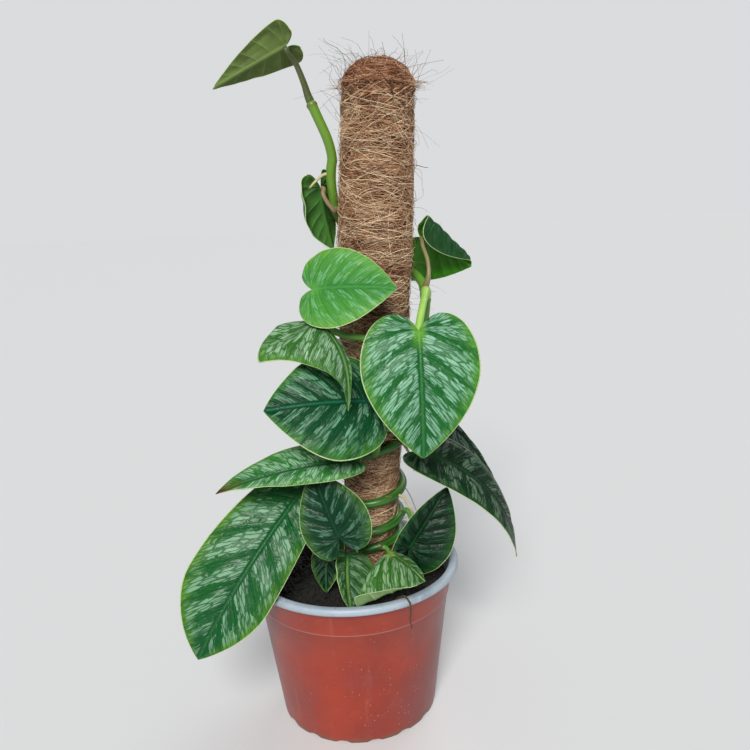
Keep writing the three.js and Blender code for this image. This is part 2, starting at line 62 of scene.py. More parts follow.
def throughPoints(points, perSpan=12):
    points = np.array(points, float)
    first = 2 * points[0] - points[1]
    last = 2 * points[-1] - points[-2]
    p = np.vstack([first, points, last])
    made = []
    for i in range(1, len(p) - 2):
        gaps = [max(np.sum((p[i + k] - p[i + k - 1]) ** 2) ** 0.25, 1e-6) for k in range(3)]
        ahead = (p[i + 1] - p[i]) / gaps[1]
        before = (p[i] - p[i - 1]) / gaps[0] - (p[i + 1] - p[i - 1]) / (gaps[0] + gaps[1]) + ahead
        after = ahead - (p[i + 2] - p[i]) / (gaps[1] + gaps[2]) + (p[i + 2] - p[i + 1]) / gaps[2]
        before, after = before * gaps[1], after * gaps[1]
        for t in np.arange(perSpan) / perSpan:
            made.append(
                (2 * t**3 - 3 * t**2 + 1) * p[i]
                + (t**3 - 2 * t**2 + t) * before
                + (3 * t**2 - 2 * t**3) * p[i + 1]
                + (t**3 - t**2) * after
            )
    made.append(points[-1])
    return np.array(made)


def evenly(path, count):
    run = np.concatenate([[0], np.cumsum(np.linalg.norm(np.diff(path, axis=0), axis=1))])
    at = np.linspace(0, run[-1], count)
    return np.stack([np.interp(at, run, path[:, k]) for k in range(3)], 1), at


# shader maths: a Wire is one socket of a material's nodes


class Wire:
    def __init__(self, tree, socket=None):
        self.tree = tree
        self.socket = socket

    def node(self, kind, settings=None, inputs=None, output=0):
        made = self.tree.nodes.new(kind)
        for name, value in (settings or {}).items():
            setattr(made, name, value)
        for name, value in (inputs or {}).items():
            Wire.join(self.tree, made.inputs[name], value)
        return Wire(self.tree, made.outputs[output])

    @staticmethod
    def join(tree, socket, value):
        if isinstance(value, Wire):
            tree.links.new(value.socket, socket)
        elif isinstance(value, (tuple, list)) and socket.type == "RGBA":
            socket.default_value = (*value, 1)
        else:
            socket.default_value = value

    def into(self, socket):
        self.tree.links.new(self.socket, socket)

    def maths(self, operation, *values):
        return self.node("ShaderNodeMath", {"operation": operation}, dict(enumerate(values)))

    def __add__(self, other):
        return self.maths("ADD", self, other)

    __radd__ = __add__

    def __sub__(self, other):
        return self.maths("SUBTRACT", self, other)

    def __rsub__(self, other):
        return self.maths("SUBTRACT", other, self)

    def __mul__(self, other):
        return self.maths("MULTIPLY", self, other)

    __rmul__ = __mul__

    def __abs__(self):
        return self.maths("ABSOLUTE", self)

    def most(self, other):
        return self.maths("MAXIMUM", self, other)

    def step(self, low, high):
        return self.node(
            "ShaderNodeMapRange",
            {"interpolation_type": "SMOOTHSTEP"},
            {"Value": self, "From Min": low, "From Max": high, "To Min": 0.0, "To Max": 1.0},
        )

    def wave(self):
        # distance from the nearest whole number, as a share: 0 on it, 1 midway
        return abs(self.maths("FRACT", self) - 0.5) * -2 + 1

    def attribute(self, name, output=2):
        return self.node("ShaderNodeAttribute", {"attribute_name": name}, {}, output)

    def place(self):
        return self.node("ShaderNodeTexCoord", output="Object")

    def sheetPlace(self):
        return self.node("ShaderNodeUVMap", {"uv_map": "UVMap"})

    def apart(self, output):
        return self.node("ShaderNodeSeparateXYZ", {}, {0: self}, output)

    def together(self, x, y, z=0.0):
        return self.node("ShaderNodeCombineXYZ", {}, {0: x, 1: y, 2: z})

    def stretch(self, scale):
        return self.node("ShaderNodeMapping", {}, {"Vector": self, "Scale": scale})

    def speckle(self, scale, detail=4.0, roughness=0.55, distortion=0.0):
        return self.node(
            "ShaderNodeTexNoise", {}, {
                "Vector": self, "Scale": scale, "Detail": detail, "Roughness": roughness,
                "Distortion": distortion,
            },
        )

    def cells(self, scale, feature="F1", output=0):
        return self.node(
            "ShaderNodeTexVoronoi", {"feature": feature},
            {"Vector": self, "Scale": scale, "Randomness": 1.0}, output,
        )

    def colours(self, first, second, factor=None, blend="MIX"):
        return self.node(
            "ShaderNodeMix", {"data_type": "RGBA", "blend_type": blend},
            {0: self if factor is None else factor, 6: first, 7: second}, 2,
        )

    def bump(self, strength, distance):
        return self.node("ShaderNodeBump", {}, {"Height": self, "Strength": strength, "Distance": distance})


def newMaterial(name, **sockets):
    material = bpy.data.materials.new(name)
    material.use_nodes = True
    shader = material.node_tree.nodes["Principled BSDF"]
    for socket, value in sockets.items():
        shader.inputs[socket.replace("_", " ")].default_value = value
    return material, shader.inputs, Wire(material.node_tree)


# meshes


def addPiece(name, mesh, materials, nodes=()):
    piece = bpy.data.objects.new(name, mesh)
    bpy.context.scene.collection.objects.link(piece)
    for material in materials:
        mesh.materials.append(material)
    for face in mesh.polygons:
        face.use_smooth = True
    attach(piece, "root")
    if nodes:
        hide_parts(*nodes)
    return piece


def gridSheet(name, columns, rows, place, closed=False, details=None):
    # a grid whose points are laid by place(u, v); u and v run from 0 to 1
    bm = bmesh.new()
    bm.loops.layers.uv.new("UVMap")
    bmesh.ops.create_grid(bm, x_segments=columns, y_segments=rows, size=0.5, calc_uvs=True)
    bm.verts.ensure_lookup_table()
    flat = np.array([v.co[:2] for v in bm.verts]) + 0.5
    points = place(flat[:, 0], flat[:, 1]) * mm
    layers = {key: bm.verts.layers.float.new(key) for key in (details or {})}
    values = {key: make(flat[:, 0], flat[:, 1]) for key, make in (details or {}).items()}
    for i, vert in enumerate(bm.verts):
        vert.co = points[i]
        for key, layer in layers.items():
            vert[layer] = float(values[key][i])
    bmesh.ops.remove_doubles(bm, verts=bm.verts, dist=1e-7)
    bmesh.ops.dissolve_degenerate(bm, edges=bm.edges, dist=1e-7)
    if closed:
        bmesh.ops.recalc_face_normals(bm, faces=bm.faces)
    mesh = bpy.data.meshes.new(name)
    bm.to_mesh(mesh)
    bm.free()
    return mesh


def frames(path):
    # a level-keeping frame at each point of a path
    tangents = unit(np.gradient(path, axis=0))
    side = np.cross(tangents[0], (0.13, 0.31, 0.94))
    sides = []
    for tangent in tangents:
        side = side - tangent * np.dot(side, tangent)
        side = side / np.linalg.norm(side)
        sides.append(side)
    sides = np.array(sides)
    return sides, np.cross(tangents, sides)


def tubeSheet(name, path, radii, sides=12, shape=None, details=None):
    # a closed tube along path with a radius at each point; shape(u, angle) swells its section
    path = np.array(path, float)
    radii = np.array(radii, float).copy()
    radii[0] = radii[-1] = 0
    side, up = frames(path)
    count = len(path) - 1

    def place(u, v):
        i = np.rint(u * count).astype(int)
        angle = 2 * np.pi * v
        radius = radii[i] * (1 if shape is None else shape(u, angle))
        return path[i] + radius[:, None] * (np.cos(angle)[:, None] * side[i] + np.sin(angle)[:, None] * up[i])

    return gridSheet(name, count, sides, place, True, details)


def roundEnds(radius, at):
    # radii that close round both ends of a run
    near = np.minimum(at, at[-1] - at)
    share = clamp(near / np.maximum(radius, 1e-6))
    return radius * np.sqrt(np.maximum(1 - (1 - share) ** 2, 0))


def repeated(name, mesh, count, spacing):
    # count copies of a small mesh in one mesh, in a row whose points are then laid elsewhere
    holder = bpy.data.objects.new(name + "Array", mesh)
    bpy.context.scene.collection.objects.link(holder)
    array = holder.modifiers.new("Array", "ARRAY")
    array.count = count
    array.use_relative_offset = False
    array.use_constant_offset = True
    array.constant_offset_displace = (spacing, 0, 0)
    many = bpy.data.meshes.new_from_object(holder.evaluated_get(bpy.context.evaluated_depsgraph_get()))
    bpy.data.objects.remove(holder)
    many.name = name
    return many


def strandSheet(name, paths, radii, shades, guides, sides=3):
    # many thin strands at once: paths is strand x station x 3
    count, stations = paths.shape[:2]
    bm = bmesh.new()
    bmesh.ops.create_grid(bm, x_segments=stations - 1, y_segments=sides, size=0.5)
    for vert in bm.verts:
        station, side = round((vert.co.x + 0.5) * (stations - 1)), round((vert.co.y + 0.5) * sides) % sides
        vert.co = (station, math.cos(2 * math.pi * side / sides), math.sin(2 * math.pi * side / sides))
    bmesh.ops.remove_doubles(bm, verts=bm.verts, dist=1e-4)
    bmesh.ops.recalc_face_normals(bm, faces=bm.faces)
    mesh = bpy.data.meshes.new(name)
    bm.to_mesh(mesh)
    bm.free()
    single = np.array([v.co for v in mesh.vertices])
    many = repeated(name, mesh, count, stations * 2)
    station = np.rint(single[:, 0]).astype(int)
    tangents = unit(np.gradient(paths, axis=1))
    normals = unit(np.cross(tangents, guides))
    binormals = np.cross(tangents, normals)
    reach = radii[:, station, None]
    points = paths[:, station] + reach * (
        single[:, 1][None, :, None] * normals[:, station] + single[:, 2][None, :, None] * binormals[:, station]
    )
    many.vertices.foreach_set("co", (points.reshape(-1) * mm).astype(np.float32))
    shade = many.attributes.new("shade", "FLOAT", "POINT")
    shade.data.foreach_set("value", np.repeat(shades, len(single)).astype(np.float32))
    many.update()
    return many


print("camera and light")

view = {"place": (22.7, -517, 361), "pitch": 12.1, "roll": -2.64, "lens": 36.05}
pitch, roll = math.radians(view["pitch"]), math.radians(view["roll"])
ahead = Vector((0, math.cos(pitch), -math.sin(pitch)))
level = Vector((1, 0, 0))
above = level.cross(ahead)
right = level * math.cos(roll) + above * math.sin(roll)
top = above * math.cos(roll) - level * math.sin(roll)
camera = bpy.data.objects.new("camera", bpy.data.cameras.new("camera"))
bpy.context.scene.collection.objects.link(camera)
turned = Matrix((right, top, -ahead)).transposed().to_4x4()
camera.matrix_world = Matrix.Translation(Vector(view["place"]) * mm) @ turned
camera.data.lens = view["lens"]
camera.data.sensor_width = 36
bpy.context.scene.camera = camera

lights = [
    {"name": "keyLight", "from": (-0.1, -1.0, 0.75), "angle": 24, "power": 3.5, "colour": (1, 0.985, 0.96)},
    {"name": "backLight", "from": (0.5, 0.9, 0.8), "angle": 40, "power": 0.8, "colour": (0.95, 0.98, 1)},
]
for light in lights:
    lamp = bpy.data.objects.new(light["name"], bpy.data.lights.new(light["name"], "SUN"))
    lamp.data.angle = math.radians(light["angle"])
    lamp.data.energy = light["power"]
    lamp.data.color = light["colour"]
    lamp.rotation_euler = Vector(light["from"]).to_track_quat("Z", "Y").to_euler()
    bpy.context.scene.collection.objects.link(lamp)

studio = {
    "backdrop": (0.7, 0.715, 0.725), "backdropStrength": 1.0, "fill": (0.72, 0.74, 0.76), "fillStrength": 0.3,
    "floor": (0.69, 0.7, 0.71, 1), "floorReach": 20,
}
world = bpy.data.worlds.new("studio")
world.use_nodes = True
w = Wire(world.node_tree)
seen = w.node("ShaderNodeLightPath")
background = world.node_tree.nodes["Background"]
seen.colours(studio["fill"], studio["backdrop"]).into(background.inputs["Color"])
strength = seen * (studio["backdropStrength"] - studio["fillStrength"]) + studio["fillStrength"]
strength.into(background.inputs["Strength"])
bpy.context.scene.world = world
bpy.context.scene.view_settings.view_transform = "Standard"

floorMaterial, sockets, _ = newMaterial("paleFloor", Roughness=0.9)
sockets["Specular IOR Level"].default_value = 0.05
sockets["Base Color"].default_value = studio["floor"]
floorMesh = bpy.data.meshes.new("floor")
bm = bmesh.new()
bmesh.ops.create_grid(bm, x_segments=1, y_segments=1, size=studio["floorReach"])
bm.to_mesh(floorMesh)
bm.free()
floor = bpy.data.objects.new("floor", floorMesh)
floorMesh.materials.append(floorMaterial)
bpy.context.scene.collection.objects.link(floor)

print("pot")

potLow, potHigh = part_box("pot")
potSizes = {
    "wall": 1.6, "footRadius": 57.5, "lipWidth": 5, "lipDrop": 5, "ridgeHeight": 90, "ridgeStep": 1,
    "floorHeight": 5, "floorThickness": 2, "footWidth": 5, "footCount": 16, "notchWidth": 9, "notchDepth": 1.5,
    "segments": 192,
}
potHeight = potHigh.z / mm
rimRadius = (potHigh.x - potLow.x) / 2 / mm
wallSlope = (rimRadius - potSizes["lipWidth"] - potSizes["footRadius"]) / potHeight


def wallRadius(height):
    return potSizes["footRadius"] + wallSlope * height


def innerRadius(height):
    return wallRadius(height) - potSizes["wall"]


def makePot():
    s = potSizes
    lipBase = potHeight - s["lipDrop"]
    soft = 0.35
    footInside = s["footRadius"] - s["wall"] - s["footWidth"]
    outer = [
        (0, s["floorHeight"]), (footInside, s["floorHeight"]), (footInside, 0.3), (footInside + 0.3, 0),
        (s["footRadius"] - 0.5, 0), (s["footRadius"], 0.5), (wallRadius(3), 3), (wallRadius(30), 30),
        (wallRadius(60), 60), (wallRadius(s["ridgeHeight"] - soft), s["ridgeHeight"] - soft),
        (wallRadius(s["ridgeHeight"]) + s["ridgeStep"] * 0.8, s["ridgeHeight"] + soft),
        (wallRadius(s["ridgeHeight"]) + s["ridgeStep"], s["ridgeHeight"] + s["ridgeStep"]),
        (wallRadius(lipBase) + s["ridgeStep"], lipBase - 0.3),
    ]
    lip = [
        (wallRadius(lipBase) + s["ridgeStep"] + 0.3, lipBase), (rimRadius - 1.4, lipBase),
        (rimRadius - 0.6, lipBase + 0.3), (rimRadius - 0.1, lipBase + 1.0), (rimRadius, lipBase + 1.8),
        (rimRadius, potHeight - 1.9), (rimRadius - 0.25, potHeight - 1), (rimRadius - 0.9, potHeight - 0.3),
        (rimRadius - 1.8, potHeight), (innerRadius(potHeight) + 2.2, potHeight),
        (innerRadius(potHeight) + 1.0, potHeight - 0.35), (innerRadius(potHeight) + 0.3, potHeight - 1.2),
        (innerRadius(potHeight - 3), potHeight - 3), (innerRadius(70), 70),
        (innerRadius(s["floorHeight"] + s["floorThickness"]), s["floorHeight"] + s["floorThickness"]),
        (0, s["floorHeight"] + s["floorThickness"]),
    ]
    bm = bmesh.new()
    verts = [bm.verts.new((radius, 0, height)) for radius, height in outer + lip]
    edges = [bm.edges.new(pair) for pair in zip(verts, verts[1:])]
    bmesh.ops.spin(
        bm, geom=verts + edges, cent=(0, 0, 0), axis=(0, 0, 1), angle=2 * math.pi, steps=s["segments"],
        use_merge=True, use_duplicate=False,
    )
    bmesh.ops.remove_doubles(bm, verts=bm.verts, dist=1e-4)
    bmesh.ops.recalc_face_normals(bm, faces=bm.faces)
    lipStart = wallRadius(lipBase) + s["ridgeStep"] + 0.15
    for face in bm.faces:
        middle = face.calc_center_median()
        out = math.hypot(middle.x, middle.y)
        inside = out < innerRadius(middle.z) + 0.8 and middle.z > s["floorHeight"] + 1
        onLip = middle.z > lipBase + 0.1 or (out > lipStart and middle.z > lipBase - 0.2)
        face.material_index = int(inside or onLip)
    for vert in bm.verts:
        if vert.co.z < 0.6 and math.hypot(vert.co.x, vert.co.y) > 40:
            turn = (math.atan2(vert.co.y, vert.co.x) / (2 * math.pi) * s["footCount"]) % 1
            reach = s["notchWidth"] / (2 * math.pi * s["footRadius"] / s["footCount"]) / 2
            share = abs(turn - 0.5) / reach
            if share < 1:
                vert.co.z += s["notchDepth"] * (1 - share**4)
    bmesh.ops.scale(bm, vec=(mm, mm, mm), verts=bm.verts)
    mesh = bpy.data.meshes.new("potShell")
    bm.to_mesh(mesh)
    bm.free()
    return mesh


def potMaterials():
    clay, sockets, w = newMaterial("terracottaPlastic", Roughness=0.42, Coat_Weight=0.12)
    sockets["Specular IOR Level"].default_value = 0.3
    at = w.place()
    up = at.apart(2)
    broad = at.speckle(14, 5, 0.6)
    fine = at.speckle(120, 6, 0.7)
    base = w.colours((0.33, 0.042, 0.022), (0.25, 0.032, 0.018), broad.step(0.35, 0.65))
    base = w.colours(base, (0.36, 0.085, 0.055), fine.step(0.5, 0.85) * 0.6)
    base = w.colours(base, (0.24, 0.045, 0.04), at.speckle(30, 4, 0.6).step(0.48, 0.7) * 0.55)
    # painted shade: darker and greyer towards the left and right edges as seen from the camera, where the wall
    # turns away from the light, with a greyer dusty tone towards the foot
    edgeShadeAndDust = (abs(at.apart(0)) * 11 + broad * 0.7 - up * 2).step(0.45, 1.1)
    base = w.colours(base, (0.2, 0.058, 0.056), edgeShadeAndDust * 0.75)
    # chalky marks and streaks that run down the wall
    streak = at.stretch((60, 60, 7)).speckle(1, 5, 0.65)
    base = w.colours(base, (0.42, 0.15, 0.12), streak.step(0.58, 0.76) * 0.25)
    spots = at.cells(420)
    spotPick = at.cells(420, output=1).apart(0)
    marks = spots.step(0.2, 0.1) * spotPick.step(0.72, 0.8) * broad.step(0.4, 0.55)
    base = w.colours(base, (0.55, 0.36, 0.3), marks * 0.7)
    grit = at.cells(330).step(0.15, 0.08) * at.cells(330, output=1).apart(1).step(0.9, 0.93)
    base = w.colours(base, (0.04, 0.025, 0.02), grit * 0.8)
    # painted highlight: a lighter line along the ridge step at 90 mm
    ridge = up.step(0.0893, 0.0899) * up.step(0.0912, 0.0906)
    base = w.colours(base, (0.5, 0.22, 0.17), ridge * 0.6)
    foot = up.step(0.006, 0.0005) * at.speckle(55, 4).step(0.35, 0.6)
    base = w.colours(base, (0.16, 0.09, 0.05), foot * 0.8)
    base.into(sockets["Base Color"])
    (fine * 0.16 + marks * 0.3 + 0.34).into(sockets["Roughness"])
    rings = (up * 1400).wave() * 0.15
    (fine * 0.5 + broad * 1.2 + rings).bump(0.16, 0.0006).into(sockets["Normal"])

    grey, sockets, w = newMaterial("greyPlastic", Roughness=0.45)
    at = w.place()
    broad = at.speckle(22, 5, 0.65)
    fine = at.speckle(150, 6, 0.75)
    base = w.colours((0.36, 0.43, 0.5), (0.22, 0.27, 0.32), broad.step(0.4, 0.7))
    base = w.colours(base, (0.52, 0.58, 0.64), fine.step(0.5, 0.75) * 0.6)
    dirt = at.speckle(70, 6, 0.7).step(0.6, 0.7) * 0.7
    base = w.colours(base, (0.09, 0.075, 0.06), dirt)
    # painted shade: the inside wall below the lip is darker
    inner = at.apart(2).step(0.111, 0.106)
    base = w.colours(base, (0.2, 0.235, 0.26), inner * 0.8)
    base.into(sockets["Base Color"])
    (fine * 0.3 + 0.3).into(sockets["Roughness"])
    (fine + broad).bump(0.25, 0.0005).into(sockets["Normal"])
    return clay, grey


addPiece("potShell", makePot(), potMaterials(), ["pot"])

print("soil")

soil = {"drop": 14, "mound": 3, "gap": 0.3, "crumbs": 2600, "seed": 3}
soilTop = potHeight - soil["drop"]


def soilHeight(x, y):
    out = np.hypot(x, y) / innerRadius(soilTop)
    lumps = [
        noise.noise(Vector((a * 0.11, b * 0.11, 2.0))) * 1.3
        + noise.noise(Vector((a * 0.35, b * 0.35, 7.0))) * 0.8
        for a, b in zip(x, y)
    ]
    return soilTop + soil["mound"] * (1 - clamp(out) ** 2) + np.array(lumps) - 0.8


def makeSoil():
    def place(u, v):
        depth = clamp((u - 0.9) / 0.1)
        radius = innerRadius(soilTop) * np.minimum(u / 0.9, 1) - soil["gap"]
        x, y = radius * np.cos(2 * np.pi * v), radius * np.sin(2 * np.pi * v)
        height = soilHeight(x, y) - depth * 8
        narrow = 1 - depth * wallSlope * 8 / innerRadius(soilTop)
        return np.stack([x * narrow, y * narrow, height], 1)

    return gridSheet("soilTop", 80, 160, place)


def soilMaterial():
    earth, sockets, w = newMaterial("pottingMix", Roughness=0.95)
    at = w.place()
    tone = at.speckle(260, 5, 0.7)
    base = w.colours((0.004, 0.004, 0.003), (0.02, 0.016, 0.011), tone.step(0.4, 0.75))
    flecks = at.cells(420).step(0.2, 0.1) * at.cells(420, output=1).apart(0).step(0.88, 0.92)
    base = w.colours(base, (0.16, 0.1, 0.055), flecks)
    base.into(sockets["Base Color"])
    (tone + at.cells(500)).bump(0.8, 0.001).into(sockets["Normal"])
    return earth


def makeCrumbs():
    rng = np.random.default_rng(soil["seed"])
    bm = bmesh.new()
    bmesh.ops.create_icosphere(bm, subdivisions=1, radius=1)
    mesh = bpy.data.meshes.new("soilCrumbs")
    bm.to_mesh(mesh)
    bm.free()
    single = np.array([v.co for v in mesh.vertices])
    count = soil["crumbs"]
    many = repeated("soilCrumbs", mesh, count, 4)
    out = np.sqrt(rng.uniform(0.05, 1, count)) * (innerRadius(soilTop) - 2.5)
    turn = rng.uniform(0, 2 * np.pi, count)
    x, y = out * np.cos(turn), out * np.sin(turn)
    size = rng.uniform(0.5, 1.3, count) ** 2 * 1.1
    shape = rng.uniform(0.6, 1.5, (count, len(single), 1)) * rng.uniform(0.6, 1.3, (count, 1, 3))
    centre = np.stack([x, y, soilHeight(x, y) + size * 0.25], 1)
    points = centre[:, None] + single[None] * shape * size[:, None, None]
    many.vertices.foreach_set("co", (points.reshape(-1) * mm).astype(np.float32))
    many.update()
    return many


earth = soilMaterial()
addPiece("soilTop", makeSoil(), [earth], ["soil"])
crumbs = addPiece("soilCrumbs", makeCrumbs(), [earth])
for face in crumbs.data.polygons:
    face.use_smooth = False

print("pole")

pole = {
    "lean": 3.6, "footX": 5.5, "footRadius": 16.5, "footHeight": 110, "topRadius": 24.3, "wideHeight": 365,
    "top": 459, "dome": 16, "tipRadius": 4, "taper": 1.5, "sleeveBottom": 10.2,
}
leanAngle = math.radians(pole["lean"])


def coirRadius(height):
    height = np.asarray(height, float)
    shoulder = pole["top"] - pole["dome"]
    low = np.minimum(height, shoulder)
    share = clamp((low - pole["footHeight"]) / (pole["wideHeight"] - pole["footHeight"]))
    taper = clamp((low - pole["wideHeight"]) / (shoulder - pole["wideHeight"]))
    swell = np.sin(share * np.pi / 2) ** 1.3
    radius = mix(pole["footRadius"], pole["topRadius"], swell) - taper * pole["taper"]
    over = clamp((height - shoulder) / pole["dome"])
    return mix(radius, pole["tipRadius"], 1 - np.sqrt(1 - over**2))


def leaned(points):
    # from the pole's own upright frame to the plant's
    x, y, z = points[..., 0], points[..., 1], points[..., 2]
    c, s = math.cos(leanAngle), math.sin(leanAngle)
    return np.stack([pole["footX"] + x * c + z * s, y, -x * s + z * c], -1)


def makeSleeve():
    def place(u, v):
        height = mix(pole["sleeveBottom"], pole["top"] - 0.4, u)
        angle = 2 * np.pi * v
        lumps = np.array([
            noise.noise(Vector((math.cos(a) * 2, math.sin(a) * 2, h * 0.16)))
            + 0.5 * noise.noise(Vector((math.cos(a) * 6, math.sin(a) * 6, h * 0.5)))
            for a, h in zip(angle, height)
        ])
        radius = (coirRadius(height) - 1.3 + lumps * 0.8) * np.where(u > 0.999, 0, 1)
        return leaned(np.stack([radius * np.cos(angle), radius * np.sin(angle), height], 1))

    return gridSheet("coirSleeve", 220, 96, place, True)


coirFibres = {
    "count": 3900, "sheets": 3, "stations": 9, "crown": 900, "wisps": 380, "wispLength": 32, "wispRise": 6,
    "thickWisps": 0.04, "seed": 11,
}


def makeFibres(name, seed, count):
    rng = np.random.default_rng(seed)
    stations = coirFibres["stations"]
    share = np.linspace(0, 1, stations)[None]
    height = rng.uniform(92, pole["top"] - 1, count)[:, None]
    length = rng.gamma(5, 8, count)[:, None] + 10
    tilt = rng.normal(0, 0.34, count)[:, None]
    steep = rng.uniform(0, 1, count)[:, None] < 0.16
    tilt = np.where(steep, rng.normal(0, 0.9, count)[:, None], tilt)
    curve = rng.normal(0, 0.6, count)[:, None]
    slope = tilt + curve * (share - 0.5) * 2
    step = length / (stations - 1)
    rise = np.cumsum(np.sin(slope) * step, 1)
    around = np.cumsum(np.cos(slope) * step, 1)
    h = height + rise - rise.mean(1, keepdims=True)
    h = np.where(h > pole["top"] - 2, 2 * (pole["top"] - 2) - h, h)
    radius = coirRadius(h)
    start = rng.uniform(0, 2 * np.pi, count)[:, None]
    angle = start + around / np.maximum(radius, 6) * rng.choice([-1, 1], count)[:, None]
    depth = rng.uniform(-1.3, 0.5, count)[:, None]
    loft = rng.exponential(0.7, count)[:, None] * np.sin(np.pi * share)
    wander = rng.normal(0, 0.25, (count, stations))
    band = np.array([noise.noise(Vector((level * 0.11, 5, 1))) for level in height[:, 0]])
    out = radius + depth + loft + wander + band[:, None] * 1.1
    out = np.maximum(out, radius - 1.6)
    points = np.stack([out * np.cos(angle), out * np.sin(angle), h], -1)
    paths = leaned(points)
    guides = unit(np.stack([np.cos(angle), np.sin(angle), 0 * angle], -1))
    thick = rng.uniform(0.06, 0.19, count)[:, None] * np.sin(np.pi * mix(0.12, 0.88, share)) ** 0.5
    # the shade value is a random tone, made darker for fibres lying deeper on the sleeve and where the lumpy
    # bands sink in, which is painted shade
    shades = clamp(rng.beta(1.3, 1.3, count) * 0.8 + (depth[:, 0] + 1.3) / 1.8 * 0.4 - 0.08 + band * 0.25)
    return strandSheet(name, paths, thick, shades, guides)


def makeCrown():
    # short fibres matted over the domed top
    rng = np.random.default_rng(coirFibres["seed"] + 90)
    count, stations = coirFibres["crown"], coirFibres["stations"]
    share = np.linspace(-0.5, 0.5, stations)[None]
    shoulder = pole["top"] - pole["dome"]
    levels = np.linspace(pole["top"], shoulder, 40)
    middle = coirRadius(shoulder) * np.sqrt(rng.uniform(0, 1, count))[:, None] * 0.92
    turn = rng.uniform(0, 2 * np.pi, count)[:, None]
    way = turn + np.pi / 2 + rng.normal(0, 0.7, count)[:, None] + share * rng.normal(0, 1.6, count)[:, None]
    length = rng.uniform(8, 26, count)[:, None]
    x = middle * np.cos(turn) + np.cumsum(np.cos(way), 1) * length / stations
    y = middle * np.sin(turn) + np.cumsum(np.sin(way), 1) * length / stations
    height = np.interp(np.hypot(x, y), coirRadius(levels), levels)
    loft = rng.exponential(0.5, count)[:, None] * np.cos(np.pi * share) + rng.uniform(-0.5, 0.4, count)[:, None]
    paths = leaned(np.stack([x, y, height + loft], -1))
    guides = np.stack([x * 0.03 + 0.1, y * 0.03, 1 + 0 * x], -1)
    thick = rng.uniform(0.07, 0.17, count)[:, None] * np.cos(np.pi * share * 0.8)
    return strandSheet("coirCrown", paths, thick, rng.uniform(0.1, 0.9, count), guides)


def makeWisps():
    # loose hairs that stand off the sleeve, most of them near the top
    rng = np.random.default_rng(coirFibres["seed"] + 50)
    count = coirFibres["wisps"]
    stations = coirFibres["stations"]
    share = np.linspace(0, 1, stations)[None, :, None]
    nearTop = rng.uniform(0, 1, count) < 0.45
    height = np.where(nearTop, rng.uniform(428, 458, count), rng.uniform(105, 430, count))
    angle = rng.uniform(0, 2 * np.pi, count)
    radius = coirRadius(height) - 0.8
    root = np.stack([radius * np.cos(angle), radius * np.sin(angle), height], 1)
    outward = np.stack([np.cos(angle), np.sin(angle), 0 * angle], 1)
    around = np.stack([-np.sin(angle), np.cos(angle), 0 * angle], 1) * rng.choice([-1, 1], count)[:, None]
    upward = np.where(height > 425, 1.1, 0)[:, None] * np.array([0, 0, 1])
    start = around + outward * rng.uniform(0.15, 0.8, count)[:, None] + upward
    start = unit(start + rng.normal(0, 0.35, (count, 3)))
    length = np.minimum(rng.gamma(2.0, 9, count)[:, None] + 3, coirFibres["wispLength"])
    bend = rng.normal(0, 0.5, (count, 3)) + np.array([0, 0, -0.25])
    points = root[:, None] + length[:, None] * (start[:, None] * share + bend[:, None] * share**2 * 0.6)
    curl = rng.normal(0, 1, (count, 1, 3)) * np.sin(share * rng.uniform(4, 9, (count, 1, 1)))
    points = points + curl * length[:, None] * 0.12 * share
    high, ceiling = points[:, :, 2], pole["top"] + coirFibres["wispRise"]
    points[:, :, 2] = np.where(high > ceiling, ceiling + (high - ceiling) * 0.3, high)
    paths = leaned(points)
    guides = np.repeat(outward[:, None] + (0.01, 0.02, 0.3), stations, 1)
    thick = rng.uniform(0.08, 0.16, count)
    thick = thick * np.where(rng.uniform(0, 1, count) < coirFibres["thickWisps"], 2.4, 1)
    thick = thick[:, None] * (1 - share[..., 0] * 0.5)
    return strandSheet("coirWisps", paths, thick, rng.uniform(0, 0.45, count), guides)


def coirMaterial(name, tones, rough):
    hair, sockets, w = newMaterial(name, Roughness=rough)
    shade = w.attribute("shade")
    at = w.place()
    patch = at.speckle(60, 4, 0.6)
    tone = (shade * 0.95 + patch * 0.7 - 0.33).step(0.0, 1.0)
    dark, brown, gold, straw = tones
    base = w.colours(dark, brown, tone.step(0.0, 0.4))
    base = w.colours(base, gold, tone.step(0.35, 0.75))
    base = w.colours(base, straw, tone.step(0.7, 0.95))
    # the matted head above the binding is redder and darker
    base = w.colours(base, (0.72, 0.5, 0.4), at.apart(2).step(0.43, 0.447) * 0.7, "MULTIPLY")
    base.into(sockets["Base Color"])
    sockets["Specular IOR Level"].default_value = 0.35
    return hair


def sleeveMaterial():
    hair, sockets, w = newMaterial("coirGround", Roughness=0.95)
    at = w.place()
    strands = at.stretch((60, 60, 700)).speckle(1, 6, 0.7, 0.4)
    # painted shade: near-black streaks stand in for the shaded gaps between the loose fibres, mixed with a
    # brown coir tone
    base = w.colours((0.02, 0.008, 0.003), (0.2, 0.1, 0.05), strands.step(0.4, 0.7))
    base.into(sockets["Base Color"])
    strands.bump(0.9, 0.002).into(sockets["Normal"])
    return hair


coirTones = [(0.04, 0.012, 0.006), (0.31, 0.135, 0.068), (0.64, 0.36, 0.19), (0.98, 0.79, 0.53)]
coirHair = coirMaterial("coirHair", coirTones, 0.6)
addPiece("coirSleeve", makeSleeve(), [sleeveMaterial()], ["coir_wrap"])
for i in range(coirFibres["sheets"]):
    sheet = makeFibres(f"coirFibres{i + 1}", coirFibres["seed"] + i, coirFibres["count"])
    addPiece(f"coirFibres{i + 1}", sheet, [coirHair])
addPiece("coirCrown", makeCrown(), [coirHair])
addPiece("coirWisps", makeWisps(), [coirHair])

twine = {"height": 436, "tilt": 5, "radius": 0.9, "plies": 5, "pitch": 7}


